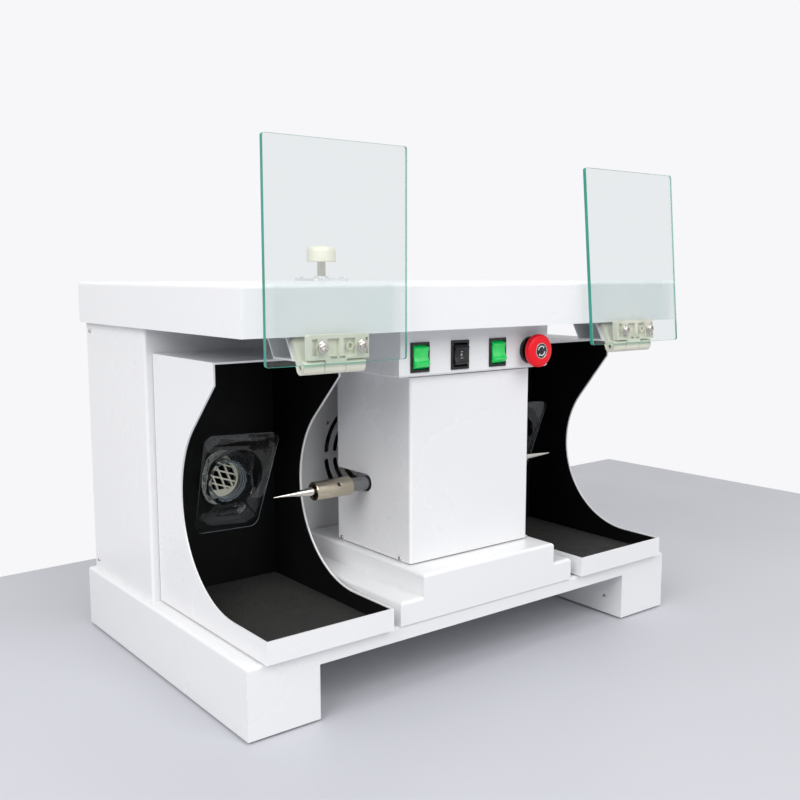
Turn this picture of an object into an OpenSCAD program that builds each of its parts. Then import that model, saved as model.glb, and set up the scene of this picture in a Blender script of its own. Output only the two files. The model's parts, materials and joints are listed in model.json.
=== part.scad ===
// Bench polishing lathe: a double-ended spindle motor between two dust hoods,
// with folding glass shields, a switch box and a filter cabinet behind.
// X runs to the right, the operator stands at -Y, Z is up from the bench.

/* [Sheet metal] */
// Thickness of every folded steel panel
sheet = 2; // [1.5:0.1:2.5]
// Outside radius of the folds
bend_r = 3.5; // [3:0.5:6]
// Assembly gap between panels made apart
gap = 0.3; // [0.2:0.05:0.5]
// Open seam round the hoods and the column cover
seam = 1.5; // [0.8:0.1:2.5]

/* [Base] */
// Width of the plinth and of the top cover
body_w = 650; // [640:1:800]
// Depth of the plinth, front to back
base_d = 425; // [424:1:520]
// Height of the plinth above its rubber feet
base_h = 75.5; // [60:0.5:120]
// Width of each hollow leg
leg_w = 85; // [60:1:120]
// Height of the cross beams between the legs
beam_h = 16.5; // [10:0.5:30]
// Radius of a rubber foot
foot_r = 15; // [10:0.5:20]
// How far the rubber feet stand out below the plinth
foot_drop = 2.5; // [2:0.5:10]

/* [Cabinet] */
// Inset of each side of the cabinet from the plinth
cab_inset = 8.5; // [4:0.5:16]
// Distance from the front of the plinth to the cabinet
cab_front = 240; // [230:1:250]
// Depth of the cabinet
cab_d = 180; // [176:1:184]
// Height of the cabinet
cab_h = 322; // [318:1:380]

/* [Deck] */
// How far the cover hangs over the front of the plinth
deck_over = 3; // [0:0.5:6]
// Height of the cover
deck_h = 51; // [30:0.5:80]

/* [Hoods] */
// Outside width of a hood
hood_w = 157; // [145:1:165]
// Inset of a hood's outer side from the plinth
hood_inset = 18; // [12:0.5:22]
// How far a hood stands out in front of the plinth
hood_over = 8; // [4:0.5:14]
// Height of the front lip
lip_h = 25.5; // [15:0.5:30]
// Overall height of a hood
hood_h = 292.5; // [280:0.5:296]
// Radius of the hollow in the side panels
mouth_r = 112; // [100:1:114]
// Distance from the front of the plinth to the centre of the left hollow
left_mouth_y = 63.5; // [45:0.5:75]
// Distance from the front of the plinth to the centre of the right hollow
right_mouth_y = 51; // [45:0.5:75]
// Distance from the front of the plinth to the front of the roof
roof_y = 90; // [80:1:110]
// Height of the straight edge under the roof
roof_edge = 24; // [15:1:40]
// Thickness of the black lining sheet
liner_t = 1; // [0.6:0.1:1.5]
// Thickness of the rubber floor mat
mat_t = 3; // [2:0.5:5]

/* [Pedestal and column] */
// Width of the low step
step_w = 271.6; // [240:0.1:278]
// Height of the low step
step_h = 26.7; // [20:0.1:40]
// Width of the upper step
plinth_w = 208; // [195:1:230]
// Height of the upper step
plinth_h = 52; // [45:0.5:70]
// How far the steps stand out in front of the plinth
step_over = 2; // [0:0.5:6]
// Width of the column cover
col_w = 187; // [184:1:192]
// Distance from the front of the plinth to the column
col_front = 35; // [28:1:45]
// Depth of the column cover
col_d = 144.5; // [140:0.5:160]

/* [Switch box] */
// Width of the switch box
ctl_w = 231.6; // [215:0.1:260]
// Distance from the front of the plinth to the switch box
ctl_front = 27; // [20:1:34]
// Height of the switch box
ctl_h = 53; // [50:0.5:60]
// Distance between one switch and the next
switch_pitch = 59; // [45:1:62]
// Distance from the centre line to the stop button
stop_x = 85; // [75:1:92]
// Width of a switch bezel
bezel_w = 26.7; // [24:0.1:30]
// Height of a switch bezel
bezel_h = 33.5; // [30:0.5:38]
// Radius of the stop button's head
stop_r = 20; // [16:0.5:22]
// Radius of the stop button's collar
stop_collar_r = 16.5; // [15.5:0.5:20]
// Travel of the stop button
stop_travel = 5; // [3:0.5:5]
// How far a rocker leans at the end of its travel, in degrees
rocker_tilt = 8; // [5:0.5:9]

/* [Spindle] */
// Distance from the front of the plinth to the spindle axis
axis_y = 120; // [112:1:122]
// Height of the spindle axis above the plinth
axis_h = 134; // [124:1:140]
// Radius of the spindle shaft
shaft_r = 8; // [6:0.5:9]
// Radius of the shaft's reduced ends inside the chucks
spigot_r = 6; // [5:0.5:7]
// Radius of a chuck
chuck_r = 11; // [10:0.5:14]
// Distance from a hood's near wall in to the back of its chuck
chuck_back = 32; // [26:1:36]
// Length of a chuck
chuck_l = 51; // [45:1:60]
// Length of a mandrel in front of its chuck
mandrel_l = 53; // [40:1:70]
// Radius of a mandrel where it leaves its chuck
mandrel_r = 5.4; // [4:0.1:7]
// Radial running clearance of shafts in their bearings
run_gap = 0.05; // [0.03:0.01:0.09]

/* [Motor] */
// Radius of the motor housing
motor_r = 56; // [50:1:57]
// Length of the motor housing
motor_l = 120; // [100:1:124]
// Wall of the motor housing
motor_t = 3; // [2:0.5:4]
// Outside radius of a ball bearing
bearing_r = 17.5; // [16:0.5:20]
// Width of a ball bearing
bearing_w = 11; // [8:1:12]
// Length of each end bell
bell_l = 24; // [20:1:26]

/* [Shields] */
// Width of a glass pane
glass_w = 166; // [150:1:190]
// Height of a glass pane
glass_h = 213.5; // [180:0.5:260]
// Thickness of the glass
glass_t = 5; // [4:0.5:6]
// How far a pane reaches past its hood's near wall
glass_lap = 6; // [2:0.5:9]
// How far the right pane leans back from upright, in degrees
right_lean = 5; // [0:0.5:6]
// Length of a hinge
hinge_l = 73; // [70:1:80]
// Distance from the left edge of a pane to its hinge
hinge_inset = 44; // [30:1:60]
// Radius of a hinge barrel
knuckle_r = 7; // [6:0.5:7]
// Radius of a hinge pin
pin_r = 2.5; // [2:0.1:3]
// Height of the leaf on the glass above the hinge axis
leaf_h = 32; // [28:1:38]
// Height of the hinge axis below the deck
hinge_drop = 30; // [29:0.5:32]
// How far the hinge axis stands in front of the plinth
hinge_over = 11; // [10:0.5:14]
// Length of a shield bracket
bracket_l = 82; // [78:1:95]
// How far a bracket starts before its hinge
bracket_lead = 2; // [0:0.5:3]
// How far the bracket's front plate leans back, in degrees
bracket_lean = 28; // [26:1:32]
// Width of the bracket's floor, front to back
bracket_d = 38; // [30:1:45]

/* [Suction] */
// Outside radius of the duct neck
neck_r = 23.5; // [20:0.5:26]
// Wall of the clear funnel
funnel_t = 1.6; // [1.2:0.1:2.5]
// Reach of the funnel mouth to the left of the duct
funnel_left = 46; // [38:1:54]
// Reach of the funnel mouth to the right at its top
funnel_right = 53; // [42:1:58]
// Reach of the funnel mouth to the right at its foot
funnel_foot = 36; // [32:1:50]
// Reach of the funnel mouth above and below the duct
funnel_rise = 62; // [54:1:66]
// Lean of the funnel mouth, in degrees
funnel_lean = 15; // [5:1:20]
// Height of the ducts above the spindle axis
duct_rise = 4.5; // [0:0.5:10]
// Radius of the duct bends
duct_bend = 36; // [32:1:40]
// Radius of the axial fan's frame
fan_r = 86; // [80:1:90]
// Length of the fan's frame
fan_l = 50; // [45:1:51]
// Number of rings of slots in the fan grille
grille_rings = 4; // [2:1:4]
// Travel of the filter shaker
shaker_travel = 25; // [10:1:30]
// Radius of the shaker rod
rod_r = 6; // [5:0.5:8]
// Height of the shaker knob's underside above the cover
knob_rise = 26.5; // [15:0.5:40]
// Radius of the shaker knob
knob_r = 20.6; // [15:0.1:26]
// Height of the shaker knob
knob_h = 22; // [15:1:30]
// Height of the dust drawer's front
drawer_h = 48; // [35:1:52]

/* [Hidden] */
$fn = 64;

// heights
base_top = foot_drop + base_h;
hood_z = base_top + seam;
plinth_top = base_top + plinth_h;
deck_z = base_top + cab_h;
ctl_z = deck_z - ctl_h;
hood_top = base_top + hood_h;
axis_z = base_top + axis_h;
cover_top = deck_z + deck_h;

// widths
deck_rim = 28;
cab_w = body_w - 2 * cab_inset;
hood_x = body_w / 2 - hood_inset - hood_w;
chuck_x = hood_x - chuck_back;
glass_x = hood_x - glass_lap;

// depths
cab_back = cab_front + cab_d;
deck_back = cab_back;
hood_back = cab_front - seam;
col_back = col_front + col_d;
wall = sheet + gap;

// hood side panels
lip_z = base_top + lip_h;
mouth_z = lip_z + mouth_r;
roof_edge_z = hood_top - roof_edge;
liner_reveal = 1.2;
pad_inset = 12;
pad_r = 6;

// column slots and screws
slot_r = shaft_r + 2.5;
screw_r = 2.5;
screw_head_h = 1.8;
col_screw_rise = 4;
tab_w = 12;
tab_h = 9;

// switches
switch_z = ctl_z + ctl_h * 0.41;
switch_x = [-1.475 * switch_pitch, -0.475 * switch_pitch, 0.525 * switch_pitch];
bezel_t = 2;
rocker_w = bezel_w - 6.7;
rocker_r = bezel_h / 2 - 3.4;
rocker_out = rocker_r * 0.8;
rocker_waist = rocker_r * 0.52;
rocker_pivot = 4;
rocker_pin_r = 1.3;
rocker_pin_l = 0.9;
rocker_gap = 0.4;
switch_body_d = 24;
cable_w = 120;
cable_edge = 24;
stop_collar_t = 4.5;
stop_gap = 1;
stop_head_h = 10;
stop_stem_r = 9;
stop_front = stop_collar_t + stop_gap + stop_travel + stop_head_h;

// spindle
chuck_recess_r = chuck_r - 2.5;
chuck_recess_d = 4;
spigot_l = 28;
set_screw_x = chuck_x + 21;
set_screw_turn = 58;
set_screw_r = 2.5;
shank_r = 5;
shank_l = 18;
tip_r = 0.6;
bell_x = motor_l / 2;
bearing_x = bell_x + bell_l - bearing_w - 4;
stator_r = motor_r - motor_t;
rotor_r = stator_r - 20;
air_gap = 0.6;
core_l = motor_l - 36;

// shields
hinge_z = deck_z - hinge_drop;
hinge_y = -hinge_over;
leaf_front = knuckle_r;
leaf_gap = 0.3;
leaf_t = knuckle_r - 0.4;
glass_rise = 3.5;
hinge_x = [-glass_x - glass_w + hinge_inset, glass_x + hinge_inset];
knuckle_l = 24;
leaf_start = 4.3;
leaf_end = hinge_l + 2.6;
glass_screw_x = [19, hinge_l - 7];
glass_screw_z = 20;
boss_r = 5.5;
pocket_d = 4;
pocket_edge = 4;
ring_x = hinge_l - 20;
ring_out_r = 4;
ring_in_r = 2.8;
slot_l = 7.5;
slot_h = 2.4;
slot_rise = 0.6;
glass_screw_r = 2.2;
pan_r = 4.6;
pan_h = 2.6;
washer_r = 6.2;
washer_t = 1;
bracket_rise = 6.5;
bracket_flange = 12;
leaf_drop = (hinge_drop - 2 * gap) / cos(bracket_lean);
leaf_corner = 4;

// suction
housing_y = cab_front + sheet + fan_l;
duct_x = hood_x + hood_w / 2;
duct_z = axis_z + duct_rise;
duct_wall = 2.2;
duct_r = neck_r + duct_wall;
neck_front = cab_front - 26;
neck_back = cab_front + 12;
flare_r = 36;
mouth_corner = 11;
corner_tuck = 0.02;
mouth_skew = 2.5;
mouth_plate_y = cab_front - 45;
grille_y = cab_front - 10;
grille_t = 3;
bar_w = 1.8;
bar_turn = [[-19, 8.2], [-69, 9.4]];
grille_sill = 8;
duct_turn_y = housing_y + 60;
fan_z = axis_z + 12.5;
fan_in_r = fan_r - 10;
fan_hub_r = 34;
fan_pin_r = 4;
fan_lip = 4;
fan_arm = 6;
hub_y = 8;
hub_l = 12;
can_y = hub_y + hub_l + 2;
blade_t = 2.4;
fan_screw_turn = 32;
fan_screw_x = (fan_r - 4.4) * cos(fan_screw_turn);
fan_screw_z = (fan_r - 4.4) * sin(fan_screw_turn);
ring_pitch = 13.4;
ring_r = fan_r - 15;
slot_w = 7;
ring_bridge = 8;
housing_w = 370;
housing_top = deck_z - 15;
filter_z = base_top + drawer_h + 14;
filter_y = housing_y + 14;
filter_w = 300;
filter_h = 190;
filter_d = 26;
filter_rim = 8;
pleats = 24;
pleat_t = 1.4;
shaker_y = housing_y + 65;
plate_w = 57;
plate_t = 3.5;
plate_boss = 3;
knob_foot_r = 1.5;
knob_top_r = 8;
knob_socket = knob_h / 2;
striker_w = 90;
striker_t = 6;
striker_d = 10;
striker_arm = 12;
drawer_w = housing_w - 2 * sheet - 4 * gap;
drawer_lip = 12;
drawer_t = 1.5;
inlet_x = -cab_w / 2 + 66.5;
inlet_z = base_top + 45;
inlet_w = 50;
inlet_h = 30;
vent_w = 70;
vent_x = cab_w / 2 - 36.5 - vent_w / 2;
vent_h = 5;
vent_pitch = 12;
vent_drop = 60;
vent_rows = 8;
cap_r = 17.5;
cap_l = 80;

// the part's origin is the middle of its footprint
front_most = hinge_y - leaf_front - glass_t - washer_t - pan_h;
back_most = max(base_d, cab_back + drawer_lip);
mid_y = (front_most + back_most) / 2;

// ---------- helpers ----------

// extrude a Y-Z outline along X from x0
module along_x(x0, len) {
    translate([x0, 0, 0]) rotate([90, 0, 90]) linear_extrude(len) children();
}

// extrude an X-Z outline along Y from y0
module along_y(y0, len) {
    translate([0, y0 + len, 0]) rotate([90, 0, 0]) linear_extrude(len) children();
}

// cylinder along X, starting at x0
module rod_x(x0, len, r) {
    translate([x0, 0, 0]) rotate([0, 90, 0]) cylinder(h = len, r = r);
}

// cylinder along Y, starting at y0
module rod_y(y0, len, r) {
    translate([0, y0 + len, 0]) rotate([90, 0, 0]) cylinder(h = len, r = r);
}

// rectangle standing on y = 0, centred on x, with its two top corners rounded
module arch(w, h, r) {
    translate([-w / 2, 0]) square([w, h - r]);
    translate([-w / 2 + r, 0]) square([w - 2 * r, h]);
    for (s = [-1, 1]) translate([s * (w / 2 - r), h - r]) circle(r);
}

// rectangle centred on the origin with four rounded corners
module soft_rect(w, h, r) {
    square([w - 2 * r, h], center = true);
    square([w, h - 2 * r], center = true);
    for (sx = [-1, 1], sy = [-1, 1])
        translate([sx * (w / 2 - r), sy * (h / 2 - r)]) circle(r);
}

function unit(v) = v / norm(v);

// convex outline with each corner rounded to radius r, the arc a hair inside the straight edges
module round_polygon(pts, r) {
    n = len(pts);
    back = [for (i = [0:n - 1]) unit(pts[(i + n - 1) % n] - pts[i])];
    ahead = [for (i = [0:n - 1]) unit(pts[(i + 1) % n] - pts[i])];
    half = [for (i = [0:n - 1]) acos(back[i] * ahead[i]) / 2];
    polygon([for (i = [0:n - 1]) each
        [pts[i] + back[i] * r / tan(half[i]), pts[i] + ahead[i] * r / tan(half[i])]]);
    for (i = [0:n - 1])
        translate(pts[i] + unit(back[i] + ahead[i]) * r / sin(half[i])) circle(r - corner_tuck);
}

// folded box from y0 to y1 with rounded top edges
module folded_box(w, y0, y1, z0, h, r) {
    intersection() {
        translate([0, 0, z0]) along_y(y0, y1 - y0) arch(w, h, r);
        translate([0, (y0 + y1) / 2, z0]) along_x(-w / 2, w) arch(y1 - y0, h, r);
    }
}

// mirror the left-hand piece to the right side
module right_side() {
    mirror([1, 0, 0]) children();
}

// ---------- plinth, pedestal, column ----------

module base_frame() {
    inner_w = body_w - 2 * leg_w;
    color("white") difference() {
        folded_box(body_w, 0, base_d, foot_drop, base_h, bend_r);
        translate([-inner_w / 2, -1, foot_drop - 1])
            cube([inner_w, base_d + 2, base_h - beam_h + 1]);
        translate([-inner_w / 2, sheet, foot_drop])
            cube([inner_w, base_d - 2 * sheet, base_h - sheet]);
        for (s = [-1, 1]) translate([s * (body_w - leg_w) / 2, 0, 0]) {
            translate([-leg_w / 2 + sheet, sheet, foot_drop + sheet])
                cube([leg_w - 2 * sheet, base_d - 2 * sheet, base_h - 2 * sheet]);
            translate([-leg_w / 2 + 12, 3 * foot_r + 5, foot_drop - 1])
                cube([leg_w - 24, base_d - 6 * foot_r - 10, sheet + 2]);
            for (y = foot_ys()) translate([0, y, foot_drop - 1])
                cylinder(h = sheet + 2, r = foot_r / 3);
            translate([0, 30, foot_drop + 23]) rod_x(-s * leg_w / 2 - 4, 8, 2);
        }
    }
}

function foot_ys() = [foot_r + 10, base_d - foot_r - 10];

module rubber_feet() {
    color("#222") for (s = [-1, 1], y = foot_ys())
        translate([s * (body_w - leg_w) / 2, y, 0]) {
            cylinder(h = foot_drop, r1 = foot_r - 1, r2 = foot_r);
            cylinder(h = foot_drop + sheet, r = foot_r / 3);
            translate([0, 0, foot_drop + sheet]) cylinder(h = 3, r1 = foot_r / 2, r2 = foot_r / 3);
        }
}

module pedestal() {
    color("white") {
        difference() {
            union() {
                folded_box(step_w, -step_over, cab_front, base_top, step_h, bend_r);
                folded_box(plinth_w, -step_over, cab_front, base_top, plinth_h, bend_r);
            }
            translate([-step_w / 2 + sheet, -step_over + sheet, base_top - 1])
                cube([step_w - 2 * sheet, cab_front + step_over, step_h - sheet + 1]);
            translate([-plinth_w / 2 + sheet, -step_over + sheet, base_top - 1])
                cube([plinth_w - 2 * sheet, cab_front + step_over, plinth_h - sheet + 1]);
        }
        for (s = [-1, 1], y = col_screw_ys())
            translate([s * (col_w / 2 - 1.5 * sheet - gap / 2), y, plinth_top + tab_h / 2])
                difference() {
                    cube([sheet - gap, tab_w, tab_h], center = true);
                    translate([0, 0, col_screw_rise - tab_h / 2]) rod_x(-sheet, 2 * sheet, screw_r / 2);
                }
    }
}

function col_screw_ys() = [col_front + 19, col_back - 8];

module column_cover() {
    color("white") difference() {
        translate([0, 0, plinth_top + seam]) linear_extrude(ctl_z - plinth_top - 2 * seam) difference() {
            translate([0, col_back]) mirror([0, 1]) arch(col_w, col_d, bend_r);
            translate([0, col_back + 1]) mirror([0, 1])
                arch(col_w - 2 * sheet, col_d - sheet + 1, bend_r - sheet);
        }
        for (s = [-1, 1]) {
            along_x(s * col_w / 2 - 2 * sheet, 4 * sheet) {
                translate([axis_y, axis_z]) circle(slot_r);
                translate([axis_y, axis_z - slot_r]) square([col_d, 2 * slot_r]);
            }
            for (y = col_screw_ys()) translate([0, y, plinth_top + col_screw_rise])
                rod_x(s * col_w / 2 - 2 * sheet, 4 * sheet, screw_r / 2);
        }
    }
}

// ---------- switch box ----------

module control_box() {
    color("white") difference() {
        translate([0, 0, 2 * ctl_z + ctl_h]) mirror([0, 0, 1])
            folded_box(ctl_w, ctl_front, cab_front, ctl_z, ctl_h, bend_r);
        translate([-ctl_w / 2 + sheet, ctl_front + sheet, ctl_z + sheet])
            cube([ctl_w - 2 * sheet, cab_front - ctl_front, ctl_h]);
        translate([-cable_w / 2, col_front + cable_edge, ctl_z - 1])
            cube([cable_w, col_d - 2 * cable_edge, sheet + 2]);
        for (x = switch_x) translate([x - (bezel_w - 4) / 2, ctl_front - 1, switch_z - (bezel_h - 4) / 2])
            cube([bezel_w - 4, sheet + 2, bezel_h - 4]);
        translate([stop_x, 0, switch_z]) rod_y(ctl_front - 1, sheet + 2, stop_stem_r + 2);
    }
}

module at_switch(i) {
    translate([switch_x[i], ctl_front, switch_z]) children();
}

module switch_bodies() {
    in_w = rocker_w + 2 * rocker_gap;
    in_h = 2 * (rocker_r + rocker_gap);
    color("#111") for (i = [0:2]) at_switch(i) difference() {
        union() {
            along_y(-bezel_t, bezel_t) soft_rect(bezel_w, bezel_h, 2);
            translate([-(bezel_w - 4.2) / 2, 0, -(bezel_h - 4.2) / 2])
                cube([bezel_w - 4.2, switch_body_d, bezel_h - 4.2]);
        }
        translate([-in_w / 2, -bezel_t - 1, -in_h / 2]) cube([in_w, switch_body_d - 6, in_h]);
        translate([0, rocker_pivot, 0]) rod_x(-in_w / 2 - 1, in_w + 2, rocker_pin_r + run_gap);
    }
}

// rocker about its own pivot, leaning its top edge outwards by tilt
module rocker(tilt) {
    translate([0, rocker_pivot, 0]) rotate([tilt, 0, 0]) {
        along_x(-rocker_w / 2, rocker_w) intersection() {
            circle(rocker_r);
            polygon([[0, -rocker_r], [-rocker_out, -rocker_r], [-rocker_waist, 0],
                [-rocker_out, rocker_r], [0, rocker_r]]);
        }
        rod_x(-rocker_w / 2 - rocker_pin_l, rocker_w + 2 * rocker_pin_l, rocker_pin_r);
    }
}

module power_rocker() {
    color("#00c050") at_switch(0) rocker(-rocker_tilt);
}

module speed_rocker() {
    color("#181818") at_switch(1) rocker(0);
}

module suction_rocker() {
    color("#00c050") at_switch(2) rocker(-rocker_tilt);
}

module at_stop() {
    translate([stop_x, ctl_front, switch_z]) children();
}

module stop_collar() {
    color("#111") at_stop() difference() {
        union() {
            rod_y(-stop_collar_t, stop_collar_t, stop_collar_r);
            rod_y(0, 26, stop_stem_r + 1.8);
            rod_y(sheet, 5, stop_stem_r + 5);
        }
        rod_y(-stop_collar_t - 1, 40, stop_stem_r + run_gap);
    }
}

module stop_plunger() {
    color("#333") at_stop() {
        rod_y(-stop_collar_t - stop_gap - stop_travel, 28, stop_stem_r);
        rod_y(-stop_front + 3 + gap, stop_head_h, stop_stem_r / 2);
    }
}

// mushroom head, turned about Y
module stop_head() {
    edge_r = 4;
    color("red") at_stop() rotate([90, 0, 0]) translate([0, 0, stop_front - stop_head_h])
        difference() {
            rotate_extrude() {
                square([stop_r - 2.5, stop_head_h]);
                translate([0, 1.5]) square([stop_r, stop_head_h - edge_r - 1.5]);
                translate([stop_r - edge_r, stop_head_h - edge_r]) circle(edge_r);
                translate([stop_r - 3, 3]) circle(3);
            }
            translate([0, 0, -1]) cylinder(h = stop_head_h - 2, r = stop_stem_r / 2 + run_gap);
        }
}

// ---------- hoods ----------

// side panel behind the curved edge, drawn back by e from that edge
module side_panel(e, mouth_y) {
    c = [mouth_y, mouth_z];
    r = mouth_r + e;
    nose = [roof_y + e, roof_edge_z];
    d = norm(nose - c);
    a = atan2(nose[1] - c[1], nose[0] - c[0]) - acos(r / d);
    touch = c + r * [cos(a), sin(a)];
    difference() {
        translate([-hood_over + e, hood_z]) square([hood_back + hood_over - 2 * e, hood_top - hood_z - e]);
        translate(c) circle(r, $fn = 120);
        polygon([[-hood_over - 1, lip_z - e], [c[0], lip_z - e], c, touch, nose,
            [nose[0], hood_top + 1], [-hood_over - 1, hood_top + 1]]);
    }
}

// steel shell on four low pads
module hood_shell(mouth_y) {
    x1 = -hood_x - hood_w;
    deep = hood_back + hood_over;
    difference() {
        union() {
            for (x = [x1, -hood_x - sheet]) along_x(x, sheet) side_panel(0, mouth_y);
            translate([x1, roof_y, hood_top - sheet]) cube([hood_w, hood_back - roof_y, sheet]);
            translate([x1, hood_back - sheet, hood_z]) cube([hood_w, sheet, hood_top - hood_z]);
            translate([x1, -hood_over, hood_z]) cube([hood_w, deep, sheet]);
            translate([x1, -hood_over, hood_z]) cube([hood_w, sheet, lip_z - hood_z]);
            for (x = [x1 + pad_inset, -hood_x - pad_inset], y = [pad_inset, hood_back - pad_inset])
                translate([x, y, base_top]) cylinder(h = seam + sheet / 2, r = pad_r);
        }
        translate([-duct_x, 0, duct_z]) rod_y(hood_back - 2 * sheet, 3 * sheet, neck_r + gap);
    }
}

module left_hood() {
    color("white") hood_shell(left_mouth_y);
}

module right_hood() {
    color("white") right_side() hood_shell(right_mouth_y);
}

module liner_shell(mouth_y) {
    x1 = -hood_x - hood_w + sheet;
    w = hood_w - 2 * sheet;
    back = hood_back - sheet;
    difference() {
        union() {
            for (x = [x1, x1 + w - liner_t]) along_x(x, liner_t) intersection() {
                side_panel(liner_reveal, mouth_y);
                translate([-hood_over + sheet, hood_z + sheet])
                    square([back + hood_over - sheet, hood_top - hood_z - 2 * sheet]);
            }
            translate([x1, roof_y + liner_reveal, hood_top - sheet - liner_t])
                cube([w, back - roof_y - liner_reveal, liner_t]);
            translate([x1, back - liner_t, hood_z + sheet])
                cube([w, liner_t, hood_top - hood_z - 2 * sheet]);
        }
        translate([-duct_x, 0, duct_z]) rod_y(back - liner_t - 1, liner_t + 2, neck_r + gap);
    }
}

module left_liner() {
    color("#0a0a0a") liner_shell(left_mouth_y);
}

module right_liner() {
    color("#0a0a0a") right_side() liner_shell(right_mouth_y);
}

module floor_mats() {
    x0 = hood_x + sheet + liner_t + gap;
    w = hood_w - 2 * (sheet + liner_t + gap);
    y0 = -hood_over + sheet + gap;
    color("#1c1a19") for (s = [-1, 1])
        translate([s > 0 ? x0 : -x0 - w, y0, hood_z + sheet])
            cube([w, hood_back - sheet - liner_t - gap - y0, mat_t]);
}

// ---------- rear cabinet ----------

// rings of arc slots, each ring broken by four bridges
module grille_slots() {
    for (i = [0:grille_rings - 1]) {
        r = ring_r - i * ring_pitch;
        x = (ring_bridge + slot_w) / 2;
        difference() {
            circle(r + slot_w / 2);
            circle(r - slot_w / 2);
            square([2 * ring_r + 20, 2 * x], center = true);
            square([2 * x, 2 * ring_r + 20], center = true);
        }
        for (a = [0:90:270], m = [0, 1]) rotate(a) mirror([m, m > 0 ? -1 : 0])
            translate([x, sqrt(r * r - x * x)]) circle(slot_w / 2);
    }
}

module rear_cabinet() {
    color("white") difference() {
        union() {
            translate([0, cab_front, base_top]) linear_extrude(cab_h) difference() {
                translate([0, cab_d]) mirror([0, 1]) arch(cab_w, cab_d, bend_r);
                translate([0, cab_d + 1]) mirror([0, 1])
                    arch(cab_w - 2 * sheet, cab_d - sheet + 1, bend_r - sheet);
            }
            for (s = [-1, 1]) translate([s * (cab_w / 2 - sheet - 8) - 8, cab_front + sheet, base_top])
                cube([16, cab_d - 40, sheet]);
        }
        for (s = [-1, 1]) {
            translate([s * duct_x, 0, duct_z]) rod_y(cab_front - 1, sheet + 2, neck_r + gap);
            for (z = panel_screw_zs()) translate([0, cab_back - 12, z])
                rod_x(s * cab_w / 2 - 2 * sheet, 4 * sheet, screw_r / 2);
        }
        along_y(cab_front - 1, sheet + 2) translate([0, fan_z]) grille_slots();
        at_fan() at_fan_screws() rod_y(-sheet - 1, sheet + 2, screw_r / 2);
    }
}

function panel_screw_zs() = [base_top + 12, deck_z - 11];

module rear_panel() {
    w = cab_w - 2 * wall;
    y0 = cab_back - sheet;
    color("white") difference() {
        union() {
            translate([-w / 2, y0, base_top + gap]) cube([w, sheet, cab_h - 2 * gap]);
            for (s = [-1, 1]) translate([s * (w - sheet) / 2 - sheet / 2, y0 - 18, base_top + gap])
                cube([sheet, 18, cab_h - 2 * gap]);
        }
        translate([-drawer_w / 2 - 1, y0 - 1, base_top - 1]) cube([drawer_w + 2, sheet + 2, drawer_h + 3]);
        translate([inlet_x - inlet_w / 2 + 4, y0 - 1, inlet_z - inlet_h / 2 + 2])
            cube([inlet_w - 8, sheet + 2, inlet_h - 4]);
        for (s = [-1, 1], i = [0:vent_rows - 1])
            translate([s * vent_x - vent_w / 2, y0 - 1, deck_z - vent_drop - vent_pitch * i])
                cube([vent_w, sheet + 2, vent_h]);
        for (s = [-1, 1], z = panel_screw_zs()) translate([0, cab_back - 12, z])
            rod_x(s * w / 2 - 2 * sheet, 4 * sheet, screw_r / 2);
    }
}

module deck_cover() {
    color("white") difference() {
        folded_box(body_w, -deck_over, deck_back, deck_z, deck_h, bend_r + 1);
        folded_box(body_w - 2 * sheet, -deck_over + sheet, deck_back - sheet,
            deck_z - 1, deck_h - sheet + 1, bend_r + 1 - sheet);
        translate([0, shaker_y, cover_top - 2 * sheet]) {
            cylinder(h = 3 * sheet, r = rod_r + 1);
            at_plate_screws() cylinder(h = 3 * sheet, r = screw_r / 2);
        }
    }
}

module deck_plate() {
    w = body_w - 2 * sheet;
    color("#ddd") difference() {
        translate([-w / 2, -deck_over + sheet, deck_z])
            cube([w, deck_back + deck_over - 2 * sheet, sheet]);
        translate([-cab_w / 2 + deck_rim, cab_front + deck_rim, deck_z - 1])
            cube([cab_w - 2 * deck_rim, cab_d - 2 * deck_rim, sheet + 2]);
        translate([-ctl_w / 2 + deck_rim / 2, ctl_front + deck_rim / 2, deck_z - 1])
            cube([ctl_w - deck_rim, cab_front - ctl_front - deck_rim, sheet + 2]);
    }
}

// ---------- suction ----------

module funnel() {
    difference() {
        union() {
            at_mouth() along_y(0, funnel_t) round_polygon([[-funnel_left, funnel_rise + mouth_skew],
                [-funnel_left, -funnel_rise + mouth_skew], [funnel_foot, -funnel_rise],
                [funnel_right, funnel_rise - mouth_skew]], mouth_corner);
            intersection() {
                flare(0);
                at_mouth() translate([-funnel_left, 0, -funnel_rise])
                    cube([funnel_left + funnel_right, cab_front, 2 * funnel_rise]);
            }
            rod_y(neck_front, neck_back - neck_front, neck_r);
        }
        flare(funnel_t);
        rod_y(neck_front - 1, neck_back - neck_front + 2, neck_r - funnel_t);
    }
}

module at_mouth() {
    translate([0, mouth_plate_y, 0]) rotate([funnel_lean, 0, 0]) children();
}

// solid flare from the mouth to the neck, made smaller by e all round
module flare(e) {
    slope = (flare_r - neck_r) / (neck_front - mouth_plate_y);
    len = 2 * (neck_front - mouth_plate_y);
    translate([0, neck_front, 0]) rotate([90, 0, 0])
        cylinder(h = len, r1 = neck_r - e, r2 = neck_r - e + slope * len);
}

module at_duct(s) {
    translate([s * duct_x, 0, duct_z]) children();
}

module left_funnel() {
    color("#9ab", 0.4) at_duct(-1) funnel();
}

module right_funnel() {
    color("#9ab", 0.4) at_duct(1) funnel();
}

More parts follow.
